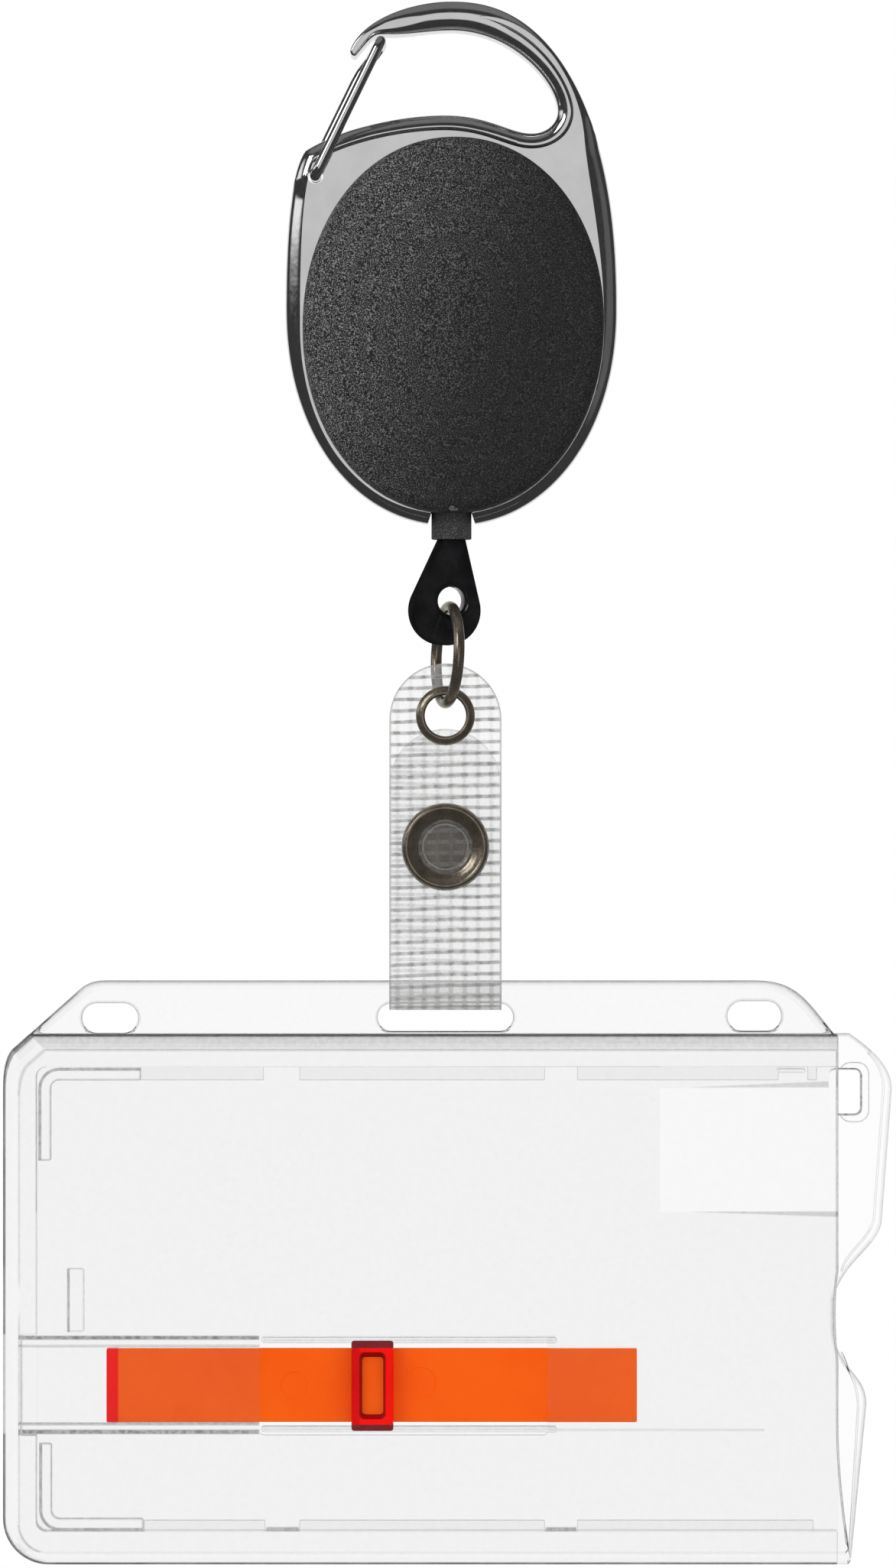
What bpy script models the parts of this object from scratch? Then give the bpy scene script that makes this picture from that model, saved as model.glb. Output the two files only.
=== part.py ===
# Retractable badge reel: a carabiner reel, its cord end and ring, a vinyl strap and a rigid card holder.
# Sizes are in millimetres and the meshes in metres. +Z is up and the front faces -Y. The origin is the
# point inside the hook that bears on whatever the reel hangs from.

import math

import bmesh
import bpy
from mathutils import Matrix, Vector

MM = 0.001
OBJECT_NAME = "retractable_badge_reel"

# Clearances
SEAT = 0.1
RUN = 0.3

# Reel case, an oval
CASE_HALF_WIDTH = 17.7
CASE_HALF_HEIGHT = 22.1
CASE_POWER = 2.07
CASE_SIDES = 40
CASE_WALL = 1.2
REEL_DROP = 34.7
COVER_UPRIGHT = 1.3
FRONT_EDGE_ROUND = 1.7
FRONT_RISE = 0.9
BACK_EDGE_ROUND = 1.6
PIN_RADIUS = 1.0
PIN_ACROSS = 9.5
PIN_ALONG = 15.0
BOSS_WALL = 1.5

# Carabiner frame
FRAME_HALF_DEPTH = 3.2
SEAT_RECESS = 0.6
FRAME_RIM = 1.85
FRAME_FOOT = 1.0
FRAME_EDGE = 0.8
COVER_MARGIN = 0.25
SEAT_LEDGE = 1.3
CORD_GAP = 5.9
WAIST_DROP = 32.7
HOOK_POWER = 2.27
RING_POWER = 2.1
HOOK_CROWN = 3.5
LOOP_HEIGHT = 9.9
LOOP_REACH = 12.5
LOOP_POCKET = 3.05
LOOP_BEAD = 1.85
POCKET_DROP = 2.15
SHOULDER_INSET = 2.35
SHOULDER_DROP = 14.1
NOSE_REACH = 11.8
NOSE_DROP = 2.1
NOSE_TIP = 0.75
NOTCH_REACH = 8.4
NOTCH_DROP = 0.4

# Wire gate
GATE_WIRE = 1.25
GATE_FOOT_INSET = 1.2
GATE_FOOT_DROP = 3.0
GATE_BEND = 1.1
GATE_FOOT_GAP = 1.2

# Spool, spring and cord
AXLE_RADIUS = 2.0
SPOOL_RADIUS = 14.0
FLANGE = 0.6
GROOVE_HALF = 2.5
DRUM_RADIUS = 8.6
DRUM_WALL = 1.2
SPRING_TURNS = 5
SPRING_STRIP = 0.25
SPRING_NOTCH = 0.7
DISC = 0.5
DISC_LAP = 0.5
CORD = 0.8
INNER_LAYERS = 1.2
WINDING_LOOPS = 3
WINDING_PITCH = 1.25
GUIDE_RADIUS = 2.36
GUIDE_LENGTH = 3.0
GUIDE_FLANGE = 0.9
GUIDE_FLANGE_LAP = 0.8
GUIDE_BORE = 0.8
GUIDE_FLARE = 0.7

# Cord drop and ring
DROP_GAP = 0.4
DROP_LEAN = 6.0
DROP_TURN = 16.0
RING_TURN = 13.5
DROP_NECK = 1.6
DROP_NECK_LENGTH = 0.8
DROP_REACH = 8.0
DROP_RADIUS = 4.1
DROP_THICKNESS = 3.0
DROP_EDGE = 0.95
DROP_HOLE = 1.65
DROP_HOLE_REACH = 6.8
DROP_HOLE_FLARE = 0.6
KNOT_RADIUS = 0.85
KNOT_REACH = 4.2
RING_RADIUS = 5.68
RING_WIRE = 1.35
RING_GAP = 0.25

# Strap, its eyelet and its snap
STRAP_WIDTH = 13.2
STRAP = 0.55
STRAP_TOP = 6.15
EYELET_BORE = 2.43
EYELET_RADIUS = 3.47
EYELET_WALL = 0.25
EYELET_FLANGE = 0.5
LEAF_SPREAD = 1.15
LEAF_BEND_START = 4.0
LEAF_BEND_END = 10.5
SNAP_DROP = 15.45
FLAP_TOP_DROP = 1.55
FLAP_LIFT = 0.4
LOOP_TAPER = 8.5
LOOP_SHANK = 3.0
SNAP_RADIUS = 4.78
SNAP_OPENING = 3.95
SNAP_HEIGHT = 0.65
SOCKET_RADIUS = 5.15
SOCKET_PLATE = 0.35
SOCKET_BOSS = 2.9
SOCKET_BORE = 2.1
STUD_RADIUS = 1.75
STUD_ENGAGEMENT = 0.2
SNAP_MOUTH = 0.2

# Card holder
CARD_HEIGHT = 54.0
CARD_CLEAR = 0.6
HOLDER_WALL = 3.9
HOLDER_REACH_LEFT = 52.04
HOLDER_REACH_RIGHT = 46.25
HOLDER_CORNER = 5.4
FLANGE_HALF = 0.7
BAR_HEIGHT = 2.7
SLOT_HEIGHT = 3.26
SLOT_WIDTH = 15.95
SIDE_SLOT_WIDTH = 6.9
SIDE_SLOT_HEIGHT = 3.5
SIDE_SLOT_LEFT = 12.54
SIDE_SLOT_RIGHT = 9.85
FLANGE_LEFT = 10.14
FLANGE_RIGHT = 9.9
FLANGE_SLOPE = 0.89
PANEL_FRONT = 2.6
FRONT_PANEL = 1.1
BACK_PANEL = 1.2
PANEL_BACK = 2.4
PANEL_BEVEL = 0.8
TAB_UPPER = 6.45
TAB_LOWER = 3.45
TAB_NOTCH = 0.45
CLIP_WIDTH = 2.7
CLIP_HEIGHT = 5.2
CLIP_DROP = 4.3

# Ejector slide
BAR_WIDTH = 62.45
BAR_DEPTH = 0.9
SLIDE_HEIGHT = 8.7
SLIDE_LEFT = 12.14
SLIDE_DROP = 41.35
PUSHER = 1.4
THUMB_WIDTH = 4.96
THUMB_HEIGHT = 10.6
THUMB_LEFT = 28.84
THUMB_PROUD = 0.8
THUMB_RECESS = 0.95
THUMB_WALL = 1.25
THUMB_CAP = 1.95
WINDOW_LEFT = 10.8
WINDOW_RIGHT = 18.1
WINDOW_MARGIN = 0.5
RAIL = 2.3
CHANNEL = 2.0

# Places worked out from the sizes
seat_plane = FRAME_HALF_DEPTH - SEAT_RECESS
cover_rim = seat_plane + SEAT
front_crown = cover_rim + COVER_UPRIGHT + FRONT_EDGE_ROUND + FRONT_RISE
back_crown = cover_rim + COVER_UPRIGHT + BACK_EDGE_ROUND
frame_half_width = CASE_HALF_WIDTH + FRAME_RIM
frame_bottom = -REEL_DROP - CASE_HALF_HEIGHT - FRAME_FOOT
hole_half_width = CASE_HALF_WIDTH - SEAT_LEDGE
hole_half_height = CASE_HALF_HEIGHT - SEAT_LEDGE
case_bottom = -REEL_DROP - CASE_HALF_HEIGHT
spool_half = GROOVE_HALF + FLANGE
disc_front = spool_half + SEAT + DISC
cord_radius = CORD / 2
layers_radius = DRUM_RADIUS + SEAT + INNER_LAYERS
winding_radius = layers_radius + RUN + cord_radius
lead_radius = winding_radius + CORD + RUN
guide_bottom = case_bottom - GUIDE_LENGTH
guide_flange_bottom = -REEL_DROP - hole_half_height + 2 * RUN
drop_top = guide_bottom - DROP_GAP
lean = math.radians(DROP_LEAN)
turn = math.radians(DROP_TURN)
ring_x = -DROP_HOLE_REACH * math.sin(lean)
drop_hole_z = drop_top - DROP_HOLE_REACH * math.cos(lean)
ring_top = drop_hole_z - DROP_HOLE + RING_GAP + RING_WIRE / 2
ring_z = ring_top - RING_RADIUS
ring_low = ring_z - RING_RADIUS
eyelet_z = ring_low + RING_WIRE / 2 + RING_GAP - EYELET_BORE
strap_top = eyelet_z + STRAP_TOP
strap_round = strap_top - STRAP_WIDTH / 2
snap_z = eyelet_z - SNAP_DROP
flap_top = eyelet_z - FLAP_TOP_DROP
leaf_face = LEAF_SPREAD + STRAP / 2
bar_corner = math.hypot(FLANGE_HALF, BAR_HEIGHT * 2 / 3)
fold_radius = bar_corner + SEAT + STRAP / 2
fold_z = snap_z - LOOP_TAPER - LOOP_SHANK - SOCKET_RADIUS
hinge_z = fold_z + LOOP_SHANK
bar_bottom = fold_z - BAR_HEIGHT * 2 / 3
flange_top = bar_bottom + BAR_HEIGHT
slot_bottom = bar_bottom - SLOT_HEIGHT
body_top = slot_bottom - 0.3
cavity_top = body_top - HOLDER_WALL
cavity_bottom = cavity_top - CARD_HEIGHT - CARD_CLEAR
body_bottom = cavity_bottom - HOLDER_WALL
body_left = ring_x - HOLDER_REACH_LEFT
body_right = ring_x + HOLDER_REACH_RIGHT
cavity_left = body_left + HOLDER_WALL
flange_left = body_left + FLANGE_LEFT
flange_right = body_right - FLANGE_RIGHT
slide_left = body_left + SLIDE_LEFT
slide_top = body_top - SLIDE_DROP + SLIDE_HEIGHT / 2
slide_mid = slide_top - SLIDE_HEIGHT / 2
slide_bottom = slide_top - SLIDE_HEIGHT
panel_inside = PANEL_FRONT - FRONT_PANEL
slide_front = panel_inside - RUN
thumb_left = slide_left + THUMB_LEFT
window_left = thumb_left - WINDOW_LEFT
window_right = thumb_left + THUMB_WIDTH + WINDOW_RIGHT


def millimetres(values):
    return tuple(v * MM for v in values)


def collection(name):
    made = bpy.data.collections.new(name)
    bpy.context.scene.collection.children.link(made)
    return made


def finish(name, colour, roughness, metallic=0.0, alpha=1.0):
    material = bpy.data.materials.new(name)
    material.use_nodes = True
    shader = material.node_tree.nodes["Principled BSDF"]
    shader.inputs["Base Color"].default_value = (*colour, 1.0)
    shader.inputs["Roughness"].default_value = roughness
    shader.inputs["Metallic"].default_value = metallic
    shader.inputs["Alpha"].default_value = alpha
    return material


# Outlines

def oval_point(half_width, half_height, power, angle):
    c, s = math.cos(angle), math.sin(angle)
    x = half_width * math.copysign(abs(c) ** (2 / power), c)
    z = half_height * math.copysign(abs(s) ** (2 / power), s)
    return x, z


def oval_arc(centre, half_width, half_height, power, start, end, count, to_end=False):
    points = []
    for i in range(count + to_end):
        angle = math.radians(start + (end - start) * i / count)
        x, z = oval_point(half_width, half_height, power, angle)
        points.append((centre[0] + x, centre[1] + z))
    return points


def arc(centre, radius, start, end, count):
    return oval_arc(centre, radius, radius, 2, start, end, count)


def bezier(start, leave, arrive, end, count):
    points = []
    for i in range(count):
        t = i / count
        weights = ((1 - t) ** 3, 3 * t * (1 - t) ** 2, 3 * t * t * (1 - t), t ** 3)
        points.append(tuple(sum(w * p[k] for w, p in zip(weights, (start, leave, arrive, end))) for k in (0, 1)))
    return points


def rounded_slot(centre_x, centre_z, width, height, count=6):
    reach, radius = width / 2 - height / 2, height / 2
    right = arc((centre_x + reach, centre_z), radius, 90, -90, count)
    left = arc((centre_x - reach, centre_z), radius, 270, 90, count)
    return right + [(centre_x + reach, centre_z - radius)] + left + [(centre_x - reach, centre_z + radius)]


def rectangle(left, right, low, high):
    return [(left, high), (right, high), (right, low), (left, low)]


# Objects

def link(obj, material=None):
    parts.objects.link(obj)
    if material:
        obj.data.materials.clear()
        obj.data.materials.append(material)
    return obj


def helper(obj):
    parts.objects.unlink(obj)
    cutters.objects.link(obj)
    obj.hide_render = True
    obj.display_type = "WIRE"
    return obj


def smooth(obj, angle=35):
    obj.data.shade_smooth()
    obj.data.set_sharp_from_angle(angle=math.radians(angle))
    return obj


def mesh_of(source, name, material=None):
    bpy.context.view_layer.update()
    graph = bpy.context.evaluated_depsgraph_get()
    mesh = bpy.data.meshes.new_from_object(source.evaluated_get(graph))
    mesh.name = name
    bm = bmesh.new()
    bm.from_mesh(mesh)
    bmesh.ops.remove_doubles(bm, verts=bm.verts, dist=1e-7)
    bm.to_mesh(mesh)
    bm.free()
    made = bpy.data.objects.new(name, mesh)
    made.matrix_world = source.matrix_world
    bpy.data.objects.remove(source)
    return smooth(link(made, material))


def flat_shape(name, loops, low, high, material=None, across="Y"):
    curve = bpy.data.curves.new(name, "CURVE")
    curve.dimensions = "2D"
    curve.fill_mode = "BOTH"
    curve.extrude = (high - low) / 2 * MM
    for loop in loops:
        spline = curve.splines.new("POLY")
        spline.points.add(len(loop) - 1)
        for point, place in zip(spline.points, loop):
            point.co = (place[0] * MM, place[1] * MM, 0, 1)
        spline.use_cyclic_u = True
    source = link(bpy.data.objects.new(name + "_outline", curve))
    middle = (low + high) / 2 * MM
    if across == "Y":
        source.matrix_world = Matrix.Translation((0, middle, 0)) @ Matrix.Rotation(math.pi / 2, 4, "X")
    else:
        source.matrix_world = Matrix(((0, 0, 1, middle), (1, 0, 0, 0), (0, 1, 0, 0), (0, 0, 0, 1)))
    return mesh_of(source, name, material)


def turned(name, profile, centre, axis, steps, material=None, closed=True):
    mesh = bpy.data.meshes.new(name)
    verts = [(r * MM, 0, h * MM) for r, h in profile]
    edges = [(i, i + 1) for i in range(len(verts) - 1)]
    if closed:
        edges.append((len(verts) - 1, 0))
    mesh.from_pydata(verts, edges, [])
    obj = link(bpy.data.objects.new(name, mesh), material)
    screw = obj.modifiers.new("turn", "SCREW")
    screw.steps = steps
    screw.render_steps = steps
    screw.use_merge_vertices = True
    screw.merge_threshold = 1e-6
    screw.use_smooth_shade = False
    obj.location = millimetres(centre)
    if axis == "Y":
        obj.rotation_euler = (-math.pi / 2, 0, 0)
    return obj


def wire(name, points, diameter, material, resolution=2):
    curve = bpy.data.curves.new(name, "CURVE")
    curve.dimensions = "3D"
    curve.bevel_depth = diameter / 2 * MM
    curve.bevel_resolution = resolution
    curve.use_fill_caps = True
    spline = curve.splines.new("POLY")
    spline.points.add(len(points) - 1)
    for point, place in zip(spline.points, points):
        point.co = (*millimetres(place), 1)
    return link(bpy.data.objects.new(name, curve), material)


def rod(name, start, end, radius, sides=16):
    along = Vector(millimetres(end)) - Vector(millimetres(start))
    bm = bmesh.new()
    bmesh.ops.create_cone(bm, cap_ends=True, segments=sides, radius1=radius * MM, radius2=radius * MM,
                          depth=along.length)
    mesh = bpy.data.meshes.new(name)
    bm.to_mesh(mesh)
    bm.free()
    obj = link(bpy.data.objects.new(name, mesh))
    middle = (Vector(millimetres(start)) + Vector(millimetres(end))) / 2
    obj.matrix_world = Matrix.Translation(middle) @ along.to_track_quat("Z", "Y").to_matrix().to_4x4()
    return obj


def block(name, low, high, material=None):
    bm = bmesh.new()
    bmesh.ops.create_cube(bm, size=1)
    size = [(b - a) * MM for a, b in zip(low, high)]
    bmesh.ops.scale(bm, vec=size, verts=bm.verts)
    bmesh.ops.translate(bm, vec=[(a + b) / 2 * MM for a, b in zip(low, high)], verts=bm.verts)
    mesh = bpy.data.meshes.new(name)
    bm.to_mesh(mesh)
    bm.free()
    return link(bpy.data.objects.new(name, mesh), material)


def combine(target, tool, operation):
    modifier = target.modifiers.new(operation.lower(), "BOOLEAN")
    modifier.operation = operation
    modifier.object = helper(tool)
    bpy.context.view_layer.update()
    tool.parent = target
    tool.matrix_parent_inverse = target.matrix_world.inverted()


def cut(target, *tools):
    for tool in tools:
        combine(target, tool, "DIFFERENCE")


def join(target, *tools):
    for tool in tools:
        combine(target, tool, "UNION")


def round_edges(obj, width, segments=2, angle=50):
    bevel = obj.modifiers.new("round", "BEVEL")
    bevel.width = width * MM
    bevel.segments = segments
    bevel.limit_method = "ANGLE"
    bevel.angle_limit = math.radians(angle)


def pivot(name, place, parent=None, rotation=None):
    empty = bpy.data.objects.new(name, None)
    empty.empty_display_size = 3 * MM
    parts.objects.link(empty)
    empty.matrix_world = Matrix.Translation(millimetres(place)) @ (rotation or Matrix())
    bpy.context.view_layer.update()
    if parent:
        hang(parent, empty)
    return empty


def hang(parent, *objects):
    bpy.context.view_layer.update()
    for obj in objects:
        obj.parent = parent
        obj.matrix_parent_inverse = parent.matrix_world.inverted()
    bpy.context.view_layer.update()


# Carabiner frame

def gap_angle(half_width, power):
    return math.degrees(math.acos((CORD_GAP / 2 / half_width) ** (power / 2)))


def shoulder():
    return -frame_half_width + SHOULDER_INSET, -SHOULDER_DROP


def notch():
    return -NOTCH_REACH, -NOTCH_DROP


def loop_pocket(drop):
    return LOOP_REACH - LOOP_POCKET, -LOOP_HEIGHT - POCKET_DROP - drop


def frame_outline():
    waist = (0, -WAIST_DROP)
    outer_gap = gap_angle(frame_half_width, RING_POWER)
    inner_gap = gap_angle(hole_half_width, CASE_POWER)
    low = WAIST_DROP + frame_bottom
    side, lower_side = (-frame_half_width, -WAIST_DROP), (-frame_half_width, -WAIST_DROP * 0.8)
    shoulder_x, shoulder_z = shoulder()
    crest = (-LOOP_POCKET * 0.26, -LOOP_HEIGHT)
    pocket_x, pocket_z = loop_pocket(0)
    loop_end = (LOOP_REACH, pocket_z + LOOP_POCKET * 0.87)
    nose = (-NOSE_REACH, -NOSE_DROP)
    tip = (-NOSE_REACH + NOSE_TIP * 0.45, -NOSE_DROP - NOSE_TIP)
    points = oval_arc(waist, frame_half_width, HOOK_CROWN + WAIST_DROP, HOOK_POWER, 90, 0, 14)
    points += oval_arc(waist, frame_half_width, -low, RING_POWER, 0, -outer_gap, 12, True)
    points += oval_arc((0, -REEL_DROP), hole_half_width, hole_half_height, CASE_POWER, -inner_gap,
                       180 + inner_gap, 44, True)
    points += oval_arc(waist, frame_half_width, -low, RING_POWER, outer_gap - 180, -180, 12)
    points += bezier(side, lower_side, (shoulder_x - SHOULDER_INSET * 0.85, shoulder_z * 1.19), shoulder(), 8)
    points += bezier(shoulder(), (shoulder_x * 0.756, shoulder_z * 0.81), (-LOOP_REACH * 0.48, -LOOP_HEIGHT), crest, 8)
    points += bezier(crest, (LOOP_REACH * 0.36, -LOOP_HEIGHT), (pocket_x * 0.72, pocket_z), (pocket_x, pocket_z), 7)
    points += bezier((pocket_x, pocket_z), (pocket_x + LOOP_POCKET * 0.57, pocket_z),
                     (LOOP_REACH, pocket_z + LOOP_POCKET * 0.38), loop_end, 5)
    points += bezier(loop_end, (LOOP_REACH, -LOOP_HEIGHT * 0.63), (LOOP_REACH * 0.58, 0), (0, 0), 10)
    points += bezier((0, 0), (-NOTCH_REACH * 0.36, 0), (-NOTCH_REACH * 0.6, -NOTCH_DROP * 1.6), notch(), 5)
    points += bezier(notch(), (-NOTCH_REACH * 1.11, -NOTCH_DROP * 0.75), (-NOSE_REACH * 0.865, -NOSE_DROP * 0.67), tip, 4)
    points += bezier(tip, (tip[0] - NOSE_TIP * 0.4, tip[1] - NOSE_TIP * 0.33),
                     (nose[0] - NOSE_TIP * 0.33, nose[1] - NOSE_TIP * 0.67), nose, 3)
    points += bezier(nose, (-NOSE_REACH * 0.88, NOSE_DROP * 0.57), (-NOSE_REACH * 0.42, HOOK_CROWN), (0, HOOK_CROWN), 9)
    return points


def recess_outline():
    half_width, half_height = CASE_HALF_WIDTH + COVER_MARGIN, CASE_HALF_HEIGHT + COVER_MARGIN
    centre = (0, -REEL_DROP)
    floor = -LOOP_HEIGHT - LOOP_BEAD
    pocket_x, pocket_z = loop_pocket(LOOP_BEAD)
    corner = (shoulder()[0] + LOOP_BEAD * 0.49, shoulder()[1] - LOOP_BEAD * 0.81)
    end = (LOOP_REACH + LOOP_BEAD, pocket_z + POCKET_DROP * 2)
    crest = (-LOOP_POCKET * 0.26, floor)
    strip = (LOOP_REACH * 0.26, HOOK_CROWN * 0.44)
    turn_in = (frame_half_width * 0.8, -LOOP_HEIGHT * 1.31)
    high, left, right = -WAIST_DROP * 0.8, (-half_width, -REEL_DROP), (half_width, -REEL_DROP)
    points = oval_arc(centre, half_width, half_height, CASE_POWER, 0, -180, 40)
    points += bezier(left, (-half_width, high), (-half_width * 0.98, corner[1] * 1.19), corner, 8)
    points += bezier(corner, (corner[0] * 0.77, corner[1] * 0.85), (-LOOP_REACH * 0.48, floor), crest, 8)
    points += bezier(crest, (LOOP_REACH * 0.34, floor), (pocket_x * 0.7, pocket_z), (pocket_x, pocket_z), 6)
    points += bezier((pocket_x, pocket_z), (pocket_x * 1.29, pocket_z), (end[0], pocket_z + LOOP_BEAD), end, 5)
    points += bezier(end, (end[0], end[1] * 0.625), (LOOP_REACH * 0.76, HOOK_CROWN * 0.2), strip, 8)
    points += bezier(strip, (LOOP_REACH * 0.8, HOOK_CROWN * 0.46), (turn_in[0] * 0.97, -LOOP_HEIGHT * 0.57), turn_in, 8)
    points += bezier(turn_in, (turn_in[0] * 1.03, turn_in[1] * 1.38), (half_width, high), right, 6)
    return points


def carabiner_frame(material):
    frame = flat_shape("carabiner_frame", [frame_outline()], -FRAME_HALF_DEPTH, FRAME_HALF_DEPTH, material)
    round_edges(frame, FRAME_EDGE)
    beyond = FRAME_HALF_DEPTH + 1
    cut(frame, flat_shape("front_recess", [recess_outline()], -beyond, -seat_plane))
    cut(frame, flat_shape("back_recess", [recess_outline()], seat_plane, beyond))
    x, z = gate_foot()
    cut(frame, rod("gate_bore", (x, -beyond, z), (x, beyond, z), GATE_WIRE / 2 + RUN, 12))
    return frame


# Covers

def cover_steps(edge_round, rise):
    steps = [(0, cover_rim), (0, cover_rim + COVER_UPRIGHT)]
    for degrees in (30, 60, 90):
        a = math.radians(degrees)
        steps.append((edge_round * (1 - math.cos(a)), cover_rim + COVER_UPRIGHT + edge_round * math.sin(a)))
    if rise:
        top = steps[-1][1]
        span = CASE_HALF_WIDTH - edge_round
        for inset in (edge_round + span * 0.25, edge_round + span * 0.5, edge_round + span * 0.75):
            share = (CASE_HALF_WIDTH - inset) / span
            steps.append((inset, top + rise * (1 - share * share)))
    return steps


def cover(name, side, edge_round, rise, material):
    steps = cover_steps(edge_round, rise)
    bm = bmesh.new()
    bmesh.ops.create_circle(bm, segments=CASE_SIDES, radius=1)
    for vert in bm.verts:
        x, z = oval_point(CASE_HALF_WIDTH, CASE_HALF_HEIGHT, CASE_POWER, math.atan2(vert.co.y, vert.co.x))
        vert.co = Vector(millimetres((x, side * steps[0][1], z)))
    rim = list(bm.edges)
    for (inset, depth), (next_inset, next_depth) in zip(steps, steps[1:]):
        grown = bmesh.ops.extrude_edge_only(bm, edges=rim)["geom"]
        verts = {g for g in grown if isinstance(g, bmesh.types.BMVert)}
        rim = [g for g in grown if isinstance(g, bmesh.types.BMEdge) and verts.issuperset(g.verts)]
        narrow = (CASE_HALF_WIDTH - next_inset) / (CASE_HALF_WIDTH - inset)
        lower = (CASE_HALF_HEIGHT - next_inset) / (CASE_HALF_HEIGHT - inset)
        bmesh.ops.scale(bm, vec=(narrow, 1, lower), verts=list(verts))
        bmesh.ops.translate(bm, vec=(0, side * (next_depth - depth) * MM, 0), verts=list(verts))
    cap = bmesh.ops.contextual_create(bm, geom=rim)["faces"][0]
    bmesh.ops.recalc_face_normals(bm, faces=bm.faces)
    cap.normal_update()
    if cap.normal.y * side < 0:
        bmesh.ops.reverse_faces(bm, faces=bm.faces)
    mesh = bpy.data.meshes.new(name)
    bm.to_mesh(mesh)
    bm.free()
    obj = link(bpy.data.objects.new(name, mesh), material)
    obj.location = (0, 0, -REEL_DROP * MM)
    shell = obj.modifiers.new("wall", "SOLIDIFY")
    shell.thickness = CASE_WALL * MM
    shell.offset = -1
    shell.use_even_offset = True
    return smooth(obj)


def pin_places():
    return [(sx * PIN_ACROSS, -REEL_DROP + sz * PIN_ALONG) for sx in (-1, 1) for sz in (-1, 1)]


def boss(name, x, z, bore, wall, low, high, steps):
    ring = [(bore, high), (bore + wall, high), (bore + wall, low), (bore, low)]
    return turned(name, ring, (x, 0, z), "Y", steps)


def front_cover(material):
    obj = cover("front_cover", -1, FRONT_EDGE_ROUND, FRONT_RISE, material)
    inside = CASE_WALL / 2 - front_crown
    join(obj, boss("front_boss", 0, -REEL_DROP, AXLE_RADIUS + SEAT, BOSS_WALL, inside, -disc_front - RUN, 20))
    reach = back_crown - CASE_WALL - SEAT
    root = CASE_WALL / 2 - front_crown + FRONT_RISE
    for number, (x, z) in enumerate(pin_places()):
        join(obj, rod(f"case_pin_{number}", (x, root, z), (x, reach, z), PIN_RADIUS, 10))
    return obj


def back_cover(material):
    obj = cover("back_cover", 1, BACK_EDGE_ROUND, 0, material)
    inside = back_crown - CASE_WALL / 2
    join(obj, boss("back_boss", 0, -REEL_DROP, AXLE_RADIUS + SEAT, BOSS_WALL, spool_half + RUN, inside, 20))
    for number, (x, z) in enumerate(pin_places()):
        join(obj, boss(f"pin_socket_{number}", x, z, PIN_RADIUS + SEAT, 0.7, cover_rim + SEAT, inside, 10))
    return obj


# Gate

def gate_foot():
    return shoulder()[0] + GATE_FOOT_INSET, shoulder()[1] - GATE_FOOT_DROP


def gate_catch():
    return notch()[0] + 0.1, notch()[1] - RUN - GATE_WIRE / 2


def wire_gate(material):
    (x0, z0), (x1, z1) = gate_foot(), gate_catch()
    out = FRAME_HALF_DEPTH + RUN + GATE_WIRE / 2
    length = math.hypot(x1 - x0, z1 - z0)
    stops = [(GATE_FOOT_GAP / 2, 0), (out - GATE_BEND, 0)]
    stops += bezier((out - GATE_BEND, 0), (out - GATE_BEND * 0.45, 0), (out, GATE_BEND * 0.45), (out, GATE_BEND), 4)[1:]
    stops += [(out, GATE_BEND), (out, length - GATE_BEND)]
    stops += bezier((out, length - GATE_BEND), (out, length - GATE_BEND * 0.45), (out - GATE_BEND * 0.45, length),
                    (out - GATE_BEND, length), 4)[1:]
    stops += [(out - GATE_BEND, length)]
    front = [(x0 + (x1 - x0) * s / length, -y, z0 + (z1 - z0) * s / length) for y, s in stops]
    back = [(x, -y, z) for x, y, z in reversed(front)]
    return wire("wire_gate", front + back, GATE_WIRE, material)


# Spool and cord

def axle_post(material):
    front, back = SEAT + CASE_WALL - front_crown, back_crown - CASE_WALL - SEAT
    profile = [(0, back), (AXLE_RADIUS, back), (AXLE_RADIUS, front), (0, front)]
    post = turned("axle_post", profile, (0, 0, -REEL_DROP), "Y", 20, material, closed=False)
    half = SPRING_STRIP / 2 + RUN / 2
    wide = AXLE_RADIUS + 1
    cut(post, block("spring_slot", (-wide, -disc_front, -REEL_DROP - half), (wide, GROOVE_HALF, -REEL_DROP + half)))
    return post


def spool(material):
    bore, cup = AXLE_RADIUS + RUN, DRUM_RADIUS - DRUM_WALL
    profile = [(bore, spool_half), (SPOOL_RADIUS, spool_half), (SPOOL_RADIUS, GROOVE_HALF),
               (DRUM_RADIUS, GROOVE_HALF), (DRUM_RADIUS, -GROOVE_HALF), (SPOOL_RADIUS, -GROOVE_HALF),
               (SPOOL_RADIUS, -spool_half), (cup, -spool_half), (cup, GROOVE_HALF), (bore, GROOVE_HALF)]
    obj = turned("spool", profile, (0, 0, -REEL_DROP), "Y", 32, material)
    notch_half = SPRING_STRIP / 2 + RUN
    cut(obj, block("spring_notch", (cup - 0.5, -spool_half - 1, -REEL_DROP - notch_half),
                   (cup + SPRING_NOTCH, GROOVE_HALF - RUN, -REEL_DROP + notch_half)))
    return obj


def spring_cover(material):
    low, high = -disc_front, -spool_half - SEAT
    outer = DRUM_RADIUS + DISC_LAP
    profile = [(AXLE_RADIUS + RUN, high), (outer, high), (outer, low), (AXLE_RADIUS + RUN, low)]
    return turned("spring_cover", profile, (0, 0, -REEL_DROP), "Y", 24, material)


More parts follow.
